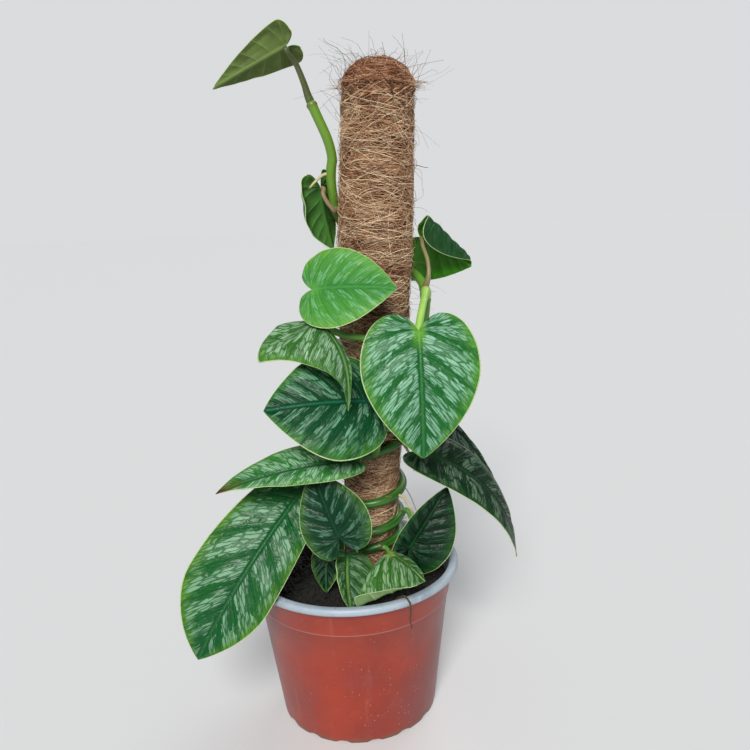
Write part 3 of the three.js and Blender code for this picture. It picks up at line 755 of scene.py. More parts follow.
def makeTwine():
    stations = 200
    turn = np.linspace(0, 1, stations)[None]
    angle = 2 * np.pi * turn
    ply = np.arange(twine["plies"])[:, None] / twine["plies"]
    height = twine["height"] + twine["tilt"] * np.cos(angle)
    middle = coirRadius(twine["height"]) + twine["radius"]
    winding = 2 * np.pi * (round(2 * np.pi * middle / twine["pitch"]) * turn + ply)
    out = middle + twine["radius"] * 0.5 * np.cos(winding)
    high = height + twine["radius"] * 0.5 * np.sin(winding)
    points = leaned(np.stack([out * np.cos(angle), out * np.sin(angle), high], -1))
    guides = np.stack([np.cos(angle) + 0 * ply, np.sin(angle) + 0 * ply, 0 * (angle + ply)], -1)
    radii = np.full((twine["plies"], stations), twine["radius"] * 0.48)
    return strandSheet("bindingCord", points, radii, np.linspace(0.15, 0.7, twine["plies"]), guides, 5)


addPiece("bindingCord", makeTwine(), [coirHair], ["binding_twine"])
timber, sockets, w = newMaterial("stakeWood", Roughness=0.7)
grain = w.place().stretch((90, 90, 6)).speckle(1, 5)
grain.colours((0.3, 0.18, 0.08), (0.45, 0.3, 0.16)).into(sockets["Base Color"])
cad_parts["pole_core"].data.materials.clear()
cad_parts["pole_core"].data.materials.append(timber)

print("stem")

stemTurns = [
    [-250, 84, 9], [-215, 100, 5], [-180, 113, 1], [-135, 122, 0], [-90, 128.5, 0], [-45, 131, 0],
    [0, 133, 0.5], [90, 136, 0], [180, 138, 0], [225, 139.5, 0], [270, 141, 0], [315, 144, 0],
    [360, 147.5, 0.5], [450, 154, 0], [540, 159, 0], [585, 161, 0], [630, 163, 0], [675, 165.5, 0],
    [720, 170, 0.5], [810, 181, 0], [900, 190, 0], [945, 195, 0], [990, 199.5, 0], [1035, 205, 0.5],
    [1080, 212, 1], [1170, 226, 0], [1260, 244, 0], [1305, 256, 0], [1350, 265, 0], [1380, 268, 1],
    [1420, 277, 6], [1430, 290, 8], [1436, 303, 8], [1450, 313, 6], [1490, 325, 1], [1530, 336, 0],
    [1575, 352, 0], [1610, 368, 0.5], [1623.8, 388, 2.8], [1627.7, 398, 2.3], [1632.3, 409, 5.7],
    [1633.3, 422, 12.1], [1632.9, 434, 18.2],
]
stem = {"radius": 3.2, "gap": 0.3, "turnScale": 3, "turnStep": 20, "sides": 20, "ringSwell": 0.16}


def turnedPoint(angle, height, extra):
    radius = coirRadius(height) + stem["radius"] + stem["gap"] * 2 + extra
    axis = pole["footX"] + math.tan(leanAngle) * height
    return np.stack([axis + radius * np.cos(angle), radius * np.sin(angle), height], -1)


def stemPath():
    turns = throughPoints(np.array(stemTurns, float) * (1 / stem["turnScale"], 1, 1), 60)
    length = np.sum(np.linalg.norm(np.diff(turns, axis=0), axis=1))
    laid, _ = evenly(turns, round(length / (stem["turnStep"] / stem["turnScale"])) + 1)
    return throughPoints(turnedPoint(np.radians(laid[:, 0] * stem["turnScale"]), laid[:, 1], laid[:, 2]), 24)


stemLine, stemRun = evenly(stemPath(), 1500)

print("leaves")


def nodePoint(turn):
    angle, height, extra = np.radians(turn[0]), turn[1], turn[2] + stem["radius"] + stem["gap"]
    return turnedPoint(angle, height, extra)


# leaf 8 hangs over the rim and keeps its tip's distance from the lip
overRimTurn = math.radians(-143.4)
overRim = rimRadius * np.array([math.cos(overRimTurn), math.sin(overRimTurn)])
# node: place on the stem as in stemTurns; base, tip, stalk and join are measured from it
leaves = {
    "leaf_01": {
        "node": [1633, 434, 18.2], "base": [-8.9, -7.2, 31], "tip": [-57.5, -1.2, 9],
        "face": [-0.15, 0.75, 0.65], "width": [16, 16], "widest": 0.1, "taper": 1.4, "lobe": 0.14, "arch": 1,
        "fold": [22, 12], "curl": [0, 0], "stalk": [[2.5, 0.4, 3], [0.6, -1.2, 10], [-3.9, -4.2, 22]],
        "stalkRadius": 2.6, "sheath": 0.2, "slim": 0.35,
    },
    "leaf_02": {
        "node": [1610, 368.3, 0.5], "base": [-5.4, -3.5, 11.7], "tip": [0.6, 6.5, -30.3],
        "face": [-0.55, 0.82, 0.1], "width": [19, 13], "lobe": 0.24, "arch": 2, "fold": [10, 15],
        "curl": [0, 10], "hook": [-100, 0],
        "stalk": [[3.6, -8.5, -4.3], [-1.4, -10.5, 2.7], [-3.4, -9.5, 7.7]],
    },
    "leaf_03": {
        "node": [1446, 310.8, 6.7], "base": [-3.7, 19.1, 33.2], "tip": [33.8, 29.1, 9.7],
        "face": [0.35, 0.9, 0.1], "width": [38, 31], "widest": 0.3, "lobe": 0.14, "lobeShare": 0.3, "arch": 3,
        "fold": [5, 0], "curl": [10, 0],
        "rolls": [{"from": [1, 0.05], "to": [0.05, 0.8], "radius": 3, "turn": -155}],
        "stalk": [[-0.3, -6.9, 7.2], [-0.3, -2.4, 17.2], [-2.7, 7.3, 27]],
    },
    "leaf_04": {
        "node": [1295, 253.5, 0], "base": [-12.6, -21.3, 62.5], "tip": [41.4, -35.3, 62],
        "face": [0.05, -0.9, 0.42], "width": [27, 27], "lobe": 0.14, "arch": 4, "fold": [6, 6],
        "curl": [-14, -14], "stalk": [[-2.1, 1.7, 4.5], [-11.6, -0.3, 28], [-17.1, -8.3, 52]],
    },
    "leaf_05": {
        "node": [1407, 272.8, 4], "base": [-63, -24.8, 22], "tip": [-45.6, -64.8, -26],
        "face": [-0.05, -0.75, 0.65], "faceTip": [-0.95, -0.3, 0.1], "width": [12, 44], "widest": 0.14,
        "taper": 0.85, "lobe": 0.36, "lobeShare": 0.55, "arch": 6, "bow": [7, 0, 3], "fold": [-75, 6],
        "curl": [-20, -24], "stalk": [[-1, -3.6, 5.2], [-11, -11.6, 6.2], [-29, -17.8, 9], [-47, -20.8, 13]],
        "join": [-55, -22.8, 17], "stalkRadius": 2.5,
    },
    "leaf_06": {
        "node": [1000, 200.7, 0.1], "base": [-2.2, -19.4, 42.3], "tip": [-70.8, -36.4, 43.3],
        "face": [-0.05, -0.85, 0.5], "width": [38, 34], "widest": 0.42, "lobe": 0.11, "arch": 6,
        "fold": [4, 4], "curl": [-18, -18],
        "stalk": [[-0.8, -2.4, 4.3], [2.2, -5.4, 21.3], [-0.8, -10.4, 35.3]],
    },
    "leaf_07": {
        "node": [975, 198, 0], "base": [-3.4, -20.1, 5], "tip": [-96, -26.1, -11], "face": [0, -0.42, 0.9],
        "width": [14, 21], "widest": 0.26, "lobe": 0.06, "arch": 6, "fold": [8, 14], "curl": [-50, -20],
        "rolls": [{"from": [0.55, -0.95], "to": [0.98, -0.1], "radius": 0.8, "turn": 160}],
        "stalk": [[-1, -3.1, 1], [-2, -8.1, 0]],
    },
    "leaf_08": {
        "node": [908, 190.8, 0], "base": [-19.3, -20.3, -10.8],
        "tip": [overRim[0] - 30.1, overRim[1] - 25.1, -109.3], "face": [0.15, -0.8, 0.55],
        "width": [27, 35.5], "widest": 0.62, "lobe": 0.08, "lobeShare": 0.15, "arch": 7,
        "bow": [-5.5, -4, -1.5], "fold": [4, 4], "curl": [-14, -20],
        "stalk": [[-3.3, -1.3, -3.8], [-11.3, -10.3, -6.8]],
    },
    "leaf_09": {
        "node": [601, 161.7, 0], "base": [-9.4, -31.9, -8.7], "tip": [-25.4, -17.9, 33.3],
        "face": [-0.05, -0.93, 0.3], "width": [22, 25], "lobe": 0.28, "arch": 4, "fold": [8, 8],
        "curl": [-24, -24], "stalk": [[-1.4, -3.9, -4.7], [-5.4, -15.9, -9.7]],
    },
    "leaf_10": {
        "node": [1433, 297.1, 8.3], "base": [-11.6, -45.3, -9.1], "tip": [-12.1, -61.3, -88.1],
        "face": [0.04, -0.97, 0.22], "width": [38, 38], "lobe": 0.14, "arch": 6, "fold": [5, 5],
        "curl": [-14, -14], "stalk": [[-3.1, -2.1, 10.9], [-5.1, -15.3, 7.9], [-8.6, -31.3, -0.1]],
        "stalkRadius": 2.8,
    },
    "leaf_11": {
        "node": [1068, 210, 0.9], "base": [4.7, -20.1, -9], "tip": [73.7, -2.1, -99],
        "face": [0.1, -0.7, 0.7], "faceTip": [0.9, -0.25, 0.35], "width": [20, 18], "widest": 0.3,
        "lobe": 0.1, "arch": 2, "bow": [13, 0, 10], "fold": [-4, -4], "curl": [-10, -10],
        "stalk": [[1.2, 0.9, -4], [2.7, -6.1, -9], [3.7, -13.1, -13]],
    },
    "leaf_12": {
        "node": [1091, 213.7, 0.9], "base": [16.2, 4.6, 7.3], "tip": [65.2, 12.6, -62.7],
        "face": [0.75, -0.45, 0.5], "width": [6, 16], "lobe": 0.1, "arch": 6, "fold": [10, 10],
        "curl": [-20, -20], "stalk": [[1.2, 0.6, -0.7], [7.2, 3.6, 2.3]],
    },
    "leaf_13": {
        "node": [361, 147.5, 0.5], "base": [1.1, -26.4, -16.5], "tip": [30.1, -14.4, 22.5],
        "face": [0.1, -0.88, 0.45], "width": [12, 27], "lobe": 0.28, "arch": 3, "fold": [20, 4],
        "curl": [0, -20], "stalk": [[1.1, -0.4, 0.5], [4.1, -8.4, -6.5], [3.1, -17.4, -13.5]],
    },
    "leaf_14": {
        "node": [-63, 130.2, -0.1], "base": [2.5, -12.7, 0.8], "tip": [25.5, -30.7, -12.2],
        "face": [0.1, -0.42, 0.9], "width": [10, 50], "widest": 0.4, "lobe": 0.1, "arch": 3,
        "fold": [-30, -5], "curl": [0, -50],
        "rolls": [{"from": [1, 0], "to": [0.5, 0.64], "radius": 1.5, "turn": 150}],
        "stalk": [[0.5, -0.7, -1.2], [2, -5.7, -3.2]],
    },
    "leaf_15": {
        "node": [-118, 124.8, -0.1], "base": [-4.2, -11, 5.2], "tip": [-3.2, -33, -23.8],
        "face": [-0.3, -0.7, 0.6], "width": [20, 11], "lobe": 0.08, "arch": 3, "fold": [-25, 60],
        "curl": [-25, 20], "stalk": [[-1.2, -2, 0.2], [-2.2, -7, 1.2]],
    },
    "leaf_16": {
        "node": [-159, 117.7, 0.3], "base": [-4.5, -8.4, 14.3], "tip": [-8.5, -25.4, -14.7],
        "face": [-0.5, -0.8, 0.3], "width": [14, 14], "lobe": 0.12, "arch": 3, "fold": [6, 6],
        "curl": [-10, -10], "stalk": [[-1, 2.6, 5.3], [-3.5, -1.4, 11.3]],
    },
}
blade = {
    "widest": 0.36, "taper": 1.9, "lobeShare": 0.42, "hookStart": 0.5, "thickness": 0.45, "columns": 110,
    "rows": 96, "sectionSteps": 8, "stalkRadius": 1.6, "buried": 3.5, "sheath": 0.75, "slim": 0,
}


def outline(x, leaf):
    widest, taper = leaf.get("widest", blade["widest"]), leaf.get("taper", blade["taper"])
    lobeShare = leaf.get("lobeShare", blade["lobeShare"])
    back = clamp((widest - x) / widest)
    ahead = clamp((x - widest) / (1 - widest))
    wide = lobeShare + (1 - lobeShare) * np.sqrt(1 - back**2)
    return np.where(x < widest, wide, (1 - ahead**taper) ** 0.95)


def openSurface(leaf, u, v):
    # point, facing and flat place of the upper side at u along the midrib and v across it, -1 to 1
    base, tip = np.array(leaf["base"], float), np.array(leaf["tip"], float)
    chord = tip - base
    length = np.linalg.norm(chord)
    t = np.abs(v)
    half = (v >= 0).astype(int)
    x = mix(u, 0.5 * (1 - np.cos(np.pi * u)), 0.6)
    marginAlong = length * (x * (1 + leaf["lobe"]) - leaf["lobe"])
    midAlong = length * u**1.45
    reach = mix(t**1.3, np.sin(np.pi / 2 * t**0.8), (1 - u) ** 4)
    along = mix(midAlong, marginAlong, reach) / length
    width = np.array(leaf["width"], float)[half]
    across = width * outline(x, leaf) * t

    q = np.maximum(along, 0)[:, None]
    face = np.array(leaf["face"], float)
    lift = face - chord / length * np.dot(face, chord / length)
    lift = lift / np.linalg.norm(lift)
    bend = (base + tip) / 2 + lift * leaf["arch"] * 2 + np.array(leaf.get("bow", [0, 0, 0]), float) * 2
    point = (1 - q) ** 2 * base + 2 * q * (1 - q) * bend + q**2 * tip
    tangent = unit((bend - base) * (1 - q) + (tip - bend) * q)
    point = point + tangent * (np.minimum(along, 0) * length)[:, None]
    facing = mix(face, np.array(leaf.get("faceTip", face), float), q)
    side = unit(np.cross(tangent, facing))
    up = np.cross(side, tangent)

    fold = np.array(leaf["fold"], float)[half]
    curl = np.array(leaf["curl"], float)[half]
    hook = np.array(leaf.get("hook", [0, 0]), float)[half]
    hookStart = blade["hookStart"]

    def turnAt(share):
        return np.radians(fold + curl * share + hook * np.maximum(0, (share - hookStart) / (1 - hookStart)))

    out, rise = np.zeros_like(u), np.zeros_like(u)
    steps = blade["sectionSteps"]
    for i in range(steps):
        turn = turnAt((i + 0.5) / steps * across / width)
        out += np.cos(turn) * across / steps
        rise += np.sin(turn) * across / steps
    turn = turnAt(across / width)
    sign = np.where(v < 0, -1, 1)
    point = point + side * (sign * out)[:, None] + up * rise[:, None]
    normal = unit(up * np.cos(turn)[:, None] - side * (sign * np.sin(turn))[:, None])
    normal = np.where((t > 0)[:, None], normal, up)
    return point, normal, along, across / length, length


def bladeSurface(leaf, u, v):
    # the open blade with its rolled parts turned over: each roll lies left of the way from its start to its end
    point, normal, along, reach, length = openSurface(leaf, u, v)
    for roll in leaf.get("rolls", []):
        ends, facings = openSurface(leaf, *np.array([roll["from"], roll["to"]], float).T)[:2]
        sign = math.copysign(1, roll["turn"])
        line = unit(ends[1] - ends[0])
        over = facings.sum(0) * sign
        over = unit(over - line * np.dot(over, line))
        beyond = np.cross(over, line) * sign
        past = (point - ends[0]) @ beyond
        angle = np.minimum(past / roll["radius"], math.radians(abs(roll["turn"])))
        flat = past - roll["radius"] * angle
        rolled = point + beyond * (roll["radius"] * np.sin(angle) + flat * np.cos(angle) - past)[:, None]
        rolled += over * (roll["radius"] * (1 - np.cos(angle)) + flat * np.sin(angle))[:, None]
        c, s = np.cos(angle)[:, None], np.sin(angle)[:, None] * sign
        turned = normal * c + np.cross(line, normal) * s + line * (normal @ line)[:, None] * (1 - c)
        point = np.where((past > 0)[:, None], rolled, point)
        normal = np.where((past > 0)[:, None], turned, normal)
    return point, normal, along, reach, length


def placed(leaf):
    node = nodePoint(leaf["node"])
    keys = [key for key in ("base", "tip", "stalk", "join") if key in leaf]
    moved = {key: (np.array(leaf[key], float) + node).tolist() for key in keys}
    return {**leaf, **moved}


leaves = {name: placed(leaf) for name, leaf in leaves.items()}


def veinPhase(along, reach, count, basal):
    # whole numbers on the lateral veins, which start at the midrib and sweep towards the tip
    start = (along - 0.12 * reach - 0.85 * reach**2) / (1 + 1.7 * reach)
    far = np.sqrt(along**2 + reach**2) + 0.02
    return np.where(start > 0, start * count, start / far * basal)


def triangle(x):
    return 1 - np.abs((x % 1) - 0.5) * 2


def makeBlade(name, leaf, look):
    count, basal = look["veins"], look["veins"] * 0.5
    seed = int(name[-2:])

    def surface(u, v):
        across = v * 2 - 1
        point, normal, along, reach, length = bladeSurface(leaf, u, across)
        phase = veinPhase(along, reach, count, basal) + np.where(across > 0, 0.5, 0)
        t = np.abs(across)
        body = clamp(reach * length / 5) * clamp((1 - t) * 4)
        quilt = (1 - (1 - triangle(phase)) ** 2) * look["quilt"] * body
        rib = -0.55 * np.exp(-((reach * length / 1.3) ** 2)) * clamp((1 - u) * 3 + 0.3)
        wave = np.array([noise.noise(Vector((a * 3.1 + seed, b * 2.3, seed * 1.7))) for a, b in zip(u, across)])
        edge = np.array([noise.noise(Vector((a * 9 + seed * 3, b * 1.5, 4.2))) for a, b in zip(u, across)])
        lift = quilt + rib + wave * look["wave"] * body + edge * look["ripple"] * t**4 * clamp((1 - u) * 5)
        return point + normal * lift[:, None]

    def vein(u, v):
        _, _, along, reach, _ = bladeSurface(leaf, u, v * 2 - 1)
        return veinPhase(along, reach, count, basal)

    def reachOut(u, v):
        _, _, _, reach, length = bladeSurface(leaf, u, v * 2 - 1)
        return reach * length

    def run(u, v):
        return u

    details = {"vein": vein, "reach": reachOut, "run": run}
    mesh = gridSheet(name, blade["columns"], blade["rows"], surface, False, details)
    _, facing, _, _, _ = bladeSurface(leaf, np.array([0.5]), np.array([0.3]))
    middle = surface(np.array([0.5]), np.array([0.65]))[0] * mm
    nearest = min(mesh.polygons, key=lambda face: (face.center - Vector(middle)).length)
    if nearest.normal.dot(Vector(facing[0])) < 0:
        mesh.flip_normals()
    return mesh


usualLook = {
    "veins": 5.6, "quilt": 0.8, "wave": 1.0, "ripple": 0.9, "slips": 8.5, "marginStart": 0.74,
    "deep": (0.003, 0.06, 0.016), "green": (0.015, 0.12, 0.018), "margin": (0.09, 0.27, 0.025),
    "silver": (0.19, 0.4, 0.25), "amount": 0.62, "rib": (0.02, 0.12, 0.03), "edge": (0.55, 0.68, 0.35),
    "heart": (0.02, 0.12, 0.03), "under": (0.05, 0.15, 0.02), "underVein": (0.1, 0.23, 0.05),
}
looks = {
    "leaf_01": {"under": (0.1, 0.15, 0.035), "underVein": (0.13, 0.2, 0.05), "wave": 0.9, "ripple": 0.8},
    "leaf_02": {"under": (0.05, 0.16, 0.025), "underVein": (0.05, 0.17, 0.025), "silver": (0.05, 0.14, 0.06)},
    "leaf_03": {
        "under": (0.035, 0.19, 0.006), "underVein": (0.06, 0.23, 0.015), "deep": (0.005, 0.04, 0.01),
        "green": (0.01, 0.065, 0.012), "margin": (0.012, 0.07, 0.01), "silver": (0.03, 0.11, 0.05),
        "amount": 0.3, "wave": 1.4,
    },
    "leaf_04": {
        "deep": (0.03, 0.19, 0.035), "green": (0.075, 0.29, 0.04), "margin": (0.14, 0.36, 0.04),
        "silver": (0.15, 0.4, 0.17), "amount": 0.42, "rib": (0.06, 0.27, 0.06), "heart": (0.12, 0.38, 0.06),
    },
    "leaf_05": {
        "deep": (0.012, 0.07, 0.015), "green": (0.04, 0.15, 0.02), "silver": (0.26, 0.44, 0.26), "amount": 0.72,
    },
    "leaf_06": {
        "deep": (0.001, 0.035, 0.012), "green": (0.002, 0.065, 0.016), "margin": (0.05, 0.2, 0.02),
        "silver": (0.13, 0.31, 0.18), "amount": 0.5, "heart": (0.004, 0.09, 0.05), "rib": (0.01, 0.12, 0.06),
    },
    "leaf_07": {
        "silver": (0.26, 0.48, 0.29), "amount": 0.74, "deep": (0.006, 0.09, 0.02), "green": (0.04, 0.2, 0.03),
        "brown": 0.86, "under": (0.1, 0.22, 0.03),
    },
    "leaf_08": {
        "deep": (0.002, 0.06, 0.018), "green": (0.007, 0.1, 0.015), "margin": (0.08, 0.22, 0.01), "veins": 6.5,
        "silver": (0.18, 0.35, 0.21), "amount": 0.56,
    },
    # painted shade: greens set far darker than the usual look, for the shade this low leaf lies in under leaf
    # 07
    "leaf_09": {
        "deep": (0.001, 0.025, 0.01), "green": (0.003, 0.045, 0.012), "margin": (0.06, 0.17, 0.015),
        "silver": (0.09, 0.21, 0.14), "amount": 0.4, "rib": (0.006, 0.05, 0.02), "heart": (0.006, 0.05, 0.02),
    },
    "leaf_10": {
        "deep": (0.003, 0.08, 0.018), "green": (0.011, 0.125, 0.02), "margin": (0.09, 0.28, 0.025),
        "silver": (0.22, 0.45, 0.3), "amount": 0.7, "heart": (0.16, 0.42, 0.05), "rib": (0.03, 0.17, 0.04),
    },
    # painted shade: greens set near black, for the shade this hanging leaf lies in
    "leaf_11": {
        "deep": (0.001, 0.015, 0.005), "green": (0.003, 0.03, 0.007), "margin": (0.015, 0.07, 0.01),
        "silver": (0.1, 0.17, 0.11), "amount": 0.52, "under": (0.07, 0.085, 0.02), "rib": (0.01, 0.05, 0.015),
    },
    # painted shade: greens set near black, for the shade this hanging leaf lies in
    "leaf_12": {
        "deep": (0.001, 0.012, 0.004), "green": (0.002, 0.025, 0.007), "margin": (0.01, 0.05, 0.01),
        "silver": (0.13, 0.24, 0.17), "amount": 0.58, "rib": (0.01, 0.05, 0.015),
    },
    # painted shade: greens set near black, for the shade this low leaf lies in
    "leaf_13": {
        "deep": (0.001, 0.012, 0.004), "green": (0.001, 0.022, 0.006), "margin": (0.02, 0.09, 0.012),
        "silver": (0.02, 0.08, 0.04), "amount": 0.34, "under": (0.05, 0.1, 0.03), "rib": (0.004, 0.04, 0.01),
        "heart": (0.004, 0.04, 0.01),
    },
    "leaf_14": {
        "silver": (0.26, 0.42, 0.22), "amount": 0.66, "green": (0.05, 0.17, 0.02), "under": (0.17, 0.28, 0.11),
        "underVein": (0.2, 0.32, 0.13), "heart": (0.3, 0.5, 0.08), "rib": (0.22, 0.4, 0.06),
    },
    "leaf_15": {
        "quilt": 0.9, "wave": 1.6, "silver": (0.17, 0.3, 0.16), "green": (0.03, 0.11, 0.015),
        "rib": (0.15, 0.3, 0.05),
    },
    # painted shade: greens set near black, for the shade this leaf lies in low by the soil
    "leaf_16": {"deep": (0.001, 0.012, 0.004), "green": (0.002, 0.025, 0.007), "silver": (0.05, 0.12, 0.07)},
}


def bladeMaterials(name, look):
    upper, sockets, w = newMaterial(name + "Upper", Roughness=0.38)
    sockets["Specular IOR Level"].default_value = 0.2
    sheet = w.sheetPlace()
    across = abs(sheet.apart(1) * 2 - 1)
    rightHalf = sheet.apart(1).step(0.4999, 0.5001)
    at = w.place()
    phase = w.attribute("vein") + rightHalf * 0.5
    reach = w.attribute("reach")
    jag = w.together(phase * 6, reach * 0.24, rightHalf * 5).speckle(1, 5, 0.75)
    blotch = at.speckle(60, 3, 0.5)
    far = (phase + (at.speckle(45, 2) - 0.5) * 0.5).wave()
    size = 1 - look["amount"]
    middle = reach.step(1.0, 3.4) * across.step(0.99, look["marginStart"])
    # the silver is a net of long cells between fine dark veinlets that run with the laterals
    net = w.together(phase * look["slips"] + (jag - 0.5) * 1.1, reach * 0.13 + blotch * 0.5, rightHalf * 9)
    slips = net.cells(1, "DISTANCE_TO_EDGE").step(0.03, 0.16)
    pick = net.cells(1, output=1).apart(0)
    patch = w.together(phase * 2.2, reach * 0.1, rightHalf * 3).speckle(1, 4, 0.65)
    silver = far * 0.8 + (jag - 0.5) * 0.9 + (patch - 0.5) * 1.3 + (pick - 0.5) * 0.4 + 0.1
    silver = silver.step(size, size + 0.12) * middle.step(0.0, 0.8)
    silver = silver * mix(0.1, 1.0, slips) * (0.5 + pick * 0.45)
    mottle = (jag + blotch).step(0.95, 1.15) * across.step(1.0, 0.9) * across.step(0.6, 0.8) * 0.4
    silver = silver.most(mottle * slips)
    dark = w.colours(look["deep"], look["green"], reach.step(0, 14) * 0.7 + (blotch - 0.35) * 0.7)
    base = w.colours(dark, look["margin"], across.step(look["marginStart"] - 0.12, 1.0) * (0.55 + blotch * 0.6))
    lateral = phase.wave().step(0.1, 0.0)
    base = w.colours(base, look["green"], far.step(0.34, 0.12) * 0.6)
    base = w.colours(base, look["deep"], (lateral * 0.5).most((1 - slips) * 0.4))
    base = w.colours(base, look["silver"], silver)
    base = w.colours(base, look["rib"], reach.step(1.3, 0.4) * 0.8)
    base = w.colours(base, look["heart"], reach.step(7, 1.5) * w.attribute("run").step(0.34, 0.04) * 0.8)
    base = w.colours(base, look["edge"], across.step(0.975, 0.99) * 0.9)
    if "brown" in look:
        # a scorched tip, olive first and brown at the end
        along = w.attribute("run") + (blotch - 0.5) * 0.08
        olive = along.step(look["brown"] - 0.06, look["brown"] + 0.05) * 0.85
        base = w.colours(base, (0.075, 0.1, 0.014), olive)
        base = w.colours(base, (0.07, 0.03, 0.012), along.step(look["brown"] + 0.07, look["brown"] + 0.1))
    base.into(sockets["Base Color"])
    (silver * 0.1 + jag * 0.12 + 0.25).into(sockets["Roughness"])
    fine = at.speckle(420, 3, 0.6)
    relief = (1 - lateral) * 0.6 + slips * 0.4 + fine * 0.25
    relief.bump(0.6, 0.0009).into(sockets["Normal"])

    lower, sockets, w = newMaterial(name + "Lower", Roughness=0.5)
    sockets["Specular IOR Level"].default_value = 0.2
    sheet = w.sheetPlace()
    across = abs(sheet.apart(1) * 2 - 1)
    at = w.place()
    rightHalf = sheet.apart(1).step(0.4999, 0.5001)
    phase = w.attribute("vein") + rightHalf * 0.5
    reach = w.attribute("reach")
    blotch = at.speckle(70, 4, 0.6)
    lines = (phase.wave().step(0.12, 0.02) * 0.7).most(reach.step(1.4, 0.6))
    threads = (phase * 4 + blotch).wave().step(0.3, 0.1) * 0.15
    base = w.colours(look["under"], [c * 0.6 for c in look["under"]], blotch.step(0.35, 0.7))
    base = w.colours(base, look["underVein"], lines.most(threads))
    base = w.colours(base, look["edge"], across.step(0.972, 0.99) * 0.7)
    base.into(sockets["Base Color"])
    (lines + threads * 0.5 + blotch * 0.4).bump(0.5, 0.0008).into(sockets["Normal"])
    return upper, lower


def makeLeaf(name):
    leaf = leaves[name]
    look = {**usualLook, **looks.get(name, {})}
    label = name.replace("leaf_", "blade")
    mesh = makeBlade(label, leaf, look)
    piece = addPiece(label, mesh, bladeMaterials(label, look), [name])
    wall = piece.modifiers.new("Solidify", "SOLIDIFY")
    wall.thickness = blade["thickness"] * mm
    wall.offset = -1
    wall.material_offset = 1
    wall.material_offset_rim = 0
    return piece


for name in leaves:
    makeLeaf(name)

print("stalks, stem and roots")


def stalkPath(name):
    leaf = leaves[name]
    points = [np.array(p, float) for p in leaf["stalk"]]
    if "join" in leaf:
        points.append(np.array(leaf["join"], float))
    point, normal, _, _, _ = bladeSurface(leaf, np.array([0.0]), np.array([0.0]))
    under = point[0] - normal[0] * (blade["thickness"] + 0.6)
    if "join" not in leaf:
        points.append(under - normal[0] * 3.5)
    points.append(under)
    nearest = np.argmin(np.linalg.norm(stemLine - points[0], axis=1))
    start = stemLine[np.searchsorted(stemRun, stemRun[nearest] - blade["buried"])]
    return evenly(throughPoints([start, *points], 14), 60)


stalkTones = {
    "usual": ((0.05, 0.19, 0.02), (0.13, 0.33, 0.04)),
    "leaf_01": ((0.035, 0.05, 0.012), (0.1, 0.13, 0.04)),
    "leaf_02": ((0.2, 0.12, 0.07), (0.3, 0.24, 0.12)),
    "leaf_03": ((0.25, 0.14, 0.09), (0.24, 0.27, 0.1)),
    "leaf_10": ((0.24, 0.5, 0.06), (0.42, 0.66, 0.15)),
}


def stalkMaterial(name):
    skin, sockets, w = newMaterial("stalk" + name[-2:], Roughness=0.45)
    first, second = stalkTones.get(name, stalkTones["usual"])
    at = w.place()
    streak = w.sheetPlace().stretch((6, 40, 1)).speckle(1, 4)
    at.speckle(120, 4).colours(first, second).into(sockets["Base Color"])
    streak.bump(0.3, 0.0004).into(sockets["Normal"])
    return skin


def groove(u, angle):
    # a shallow channel along one side of the stalk
    return 1 - 0.14 * np.exp(-(((angle - np.pi) / 0.5) ** 2))


stalkRoots = []
for name in leaves:
    path, run = stalkPath(name)
    stalkRoots.append(path[0])
    radius = leaves[name].get("stalkRadius", blade["stalkRadius"])
    share = run / run[-1]
    # a clasping sheath at the foot, a slimmer middle and a knee below the blade
    sheath, slim = leaves[name].get("sheath", blade["sheath"]), leaves[name].get("slim", blade["slim"])
    knee = 0.12 * np.exp(-(((share - 0.94) / 0.05) ** 2))
    radii = radius * (0.9 + sheath * np.exp(-((share / 0.18) ** 2)) + knee - slim * share)
    mesh = tubeSheet(name.replace("leaf_", "stalk"), path, roundEnds(radii, run), 16, groove)
    addPiece(mesh.name, mesh, [stalkMaterial(name)], [name.replace("leaf", "petiole")])


def makeStem():
    roots = np.array(stalkRoots)
    rings = np.zeros(len(stemLine))
    for root in roots:
        away = stemRun - stemRun[np.argmin(np.linalg.norm(stemLine - root, axis=1))]
        rings += np.exp(-((away / 1.6) ** 2)) + 0.35 * np.exp(-(((away - 3) / 1.2) ** 2))
    wobble = np.array([noise.noise(Vector((run * 0.05, 3, 1))) for run in stemRun])
    radii = stem["radius"] * (1 + stem["ringSwell"] * np.minimum(rings, 1) + 0.05 * wobble)
    radii = roundEnds(radii, stemRun)
    count = len(stemLine) - 1

    def ring(u, v):
        return rings[np.rint(u * count).astype(int)]

    def run(u, v):
        return stemRun[np.rint(u * count).astype(int)]

    return tubeSheet("vineStem", stemLine, radii, stem["sides"], None, {"ring": ring, "run": run})


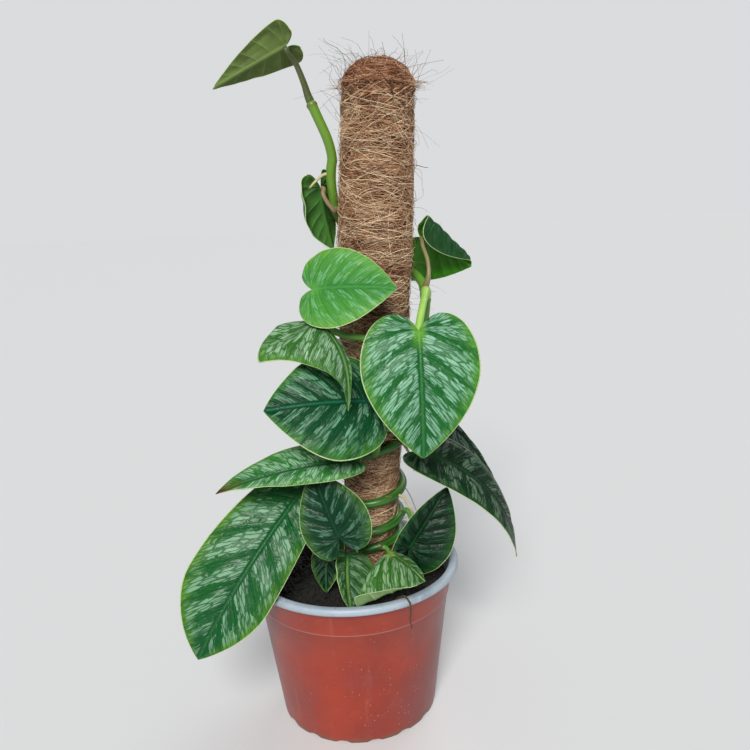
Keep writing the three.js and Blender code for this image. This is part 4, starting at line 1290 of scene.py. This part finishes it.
def stemMaterial():
    skin, sockets, w = newMaterial("vineSkin", Roughness=0.42, Coat_Weight=0.1)
    at = w.place()
    up = at.apart(2)
    run = w.attribute("run")
    ring = w.attribute("ring")
    streak = w.together(run * 0.05, w.sheetPlace().apart(1) * 14).speckle(1, 4, 0.6)
    base = w.colours((0.01, 0.065, 0.006), (0.04, 0.17, 0.014), streak.step(0.35, 0.65))
    # painted highlight: paler, yellower green on the upper stem, above about 260 mm and again above about 340
    # mm, partly the paler young growth
    youngGrowthAndHighlight = up.step(0.26, 0.3)
    base = w.colours(base, (0.12, 0.3, 0.03), youngGrowthAndHighlight * 0.8)
    base = w.colours(base, (0.12, 0.25, 0.015), up.step(0.34, 0.4) * 0.9)
    base = w.colours(base, (0.14, 0.075, 0.03), ring.step(0.5, 0.95) * 0.6)
    scurf = at.speckle(160, 5, 0.7).step(0.6, 0.72) * 0.4
    base = w.colours(base, (0.16, 0.13, 0.06), scurf * up.step(0.3, 0.25))
    base.into(sockets["Base Color"])
    (streak * 0.2 + 0.32).into(sockets["Roughness"])
    (streak + at.speckle(300, 4) * 0.4).bump(0.3, 0.0005).into(sockets["Normal"])
    return skin


addPiece("vineStem", makeStem(), [stemMaterial()], ["vine_stem"])

airRoots = [
    {"node": [1624, 388.1, 2.8], "path": [[-0.6, -0.7, -0.1], [-6.3, -2.7, -4.1], [-12.3, -3.7, -10.1]]},
    {"node": [249, 140.2, 0], "path": [[-1.6, -4.2, -1.2], [-1.1, -4.8, -9], [0.4, -3.8, -15.5]]},
    {"node": [1041, 205.8, 0.6], "path": [[0.5, 0.5, -2.8], [5, 3.5, -12.8], [7, 5.5, -23.8]]},
    {"node": [682, 166.1, 0.1], "path": [[2.9, -2.3, -1.1], [6.9, -4.3, -8.1], [9.9, -2.3, -16.1]]},
]
rootSkin, sockets, w = newMaterial("rootSkin", Roughness=0.75)
tone = w.place().speckle(140, 4, 0.6)
end = w.sheetPlace().apart(0).step(0.8, 0.95)
pale = tone.colours((0.36, 0.3, 0.14), (0.6, 0.54, 0.32))
w.colours(pale, (0.06, 0.035, 0.02), end).into(sockets["Base Color"])
tone.bump(0.4, 0.0004).into(sockets["Normal"])
for i, root in enumerate(airRoots):
    points = np.array(root["path"], float) + nodePoint(root["node"])
    nearest = stemLine[np.argmin(np.linalg.norm(stemLine - np.array(points[0]), axis=1))]
    start = np.array(points[0]) + (nearest - np.array(points[0])) * 0.8
    path, run = evenly(throughPoints([start, *points], 14), 40)
    radii = roundEnds(mix(1.15, 0.6, run / run[-1]), run)
    mesh = tubeSheet(f"airRoot{i + 1}", path, radii, 10)
    addPiece(mesh.name, mesh, [rootSkin], [f"aerial_root_{i + 1}"])

lipTop, lipSide = potHeight + 1.2, rimRadius + 1.2
rimRoot = [
    [-63, innerRadius(potHeight) - 6, potHeight - 5], [-62, rimRadius - 4, lipTop + 0.5],
    [-61.5, rimRadius - 1, lipTop + 0.7], [-61, lipSide + 0.8, potHeight - 1],
    [-60.5, lipSide + 0.8, potHeight - 5], [-60, lipSide - 1.5, potHeight - 14],
    [-59, lipSide - 2.5, potHeight - 22],
]
points = [[r * math.cos(math.radians(a)), r * math.sin(math.radians(a)), h] for a, r, h in rimRoot]
path, run = evenly(throughPoints(points, 14), 60)
kinks = np.array([[noise.noise(Vector((d * 0.3, k * 5, 2))) for k in range(3)] for d in run])
radii = roundEnds(mix(0.85, 0.35, run / run[-1]), run)
darkRoot, sockets, w = newMaterial("driedRoot", Roughness=0.9)
tone = w.place().speckle(300, 4, 0.6)
tone.colours((0.02, 0.012, 0.008), (0.12, 0.07, 0.04)).into(sockets["Base Color"])
tone.bump(0.5, 0.0004).into(sockets["Normal"])
mesh = tubeSheet("driedRoot", path + kinks * 0.6, radii, 8)
addPiece("driedRoot", mesh, [darkRoot], ["dry_root"])
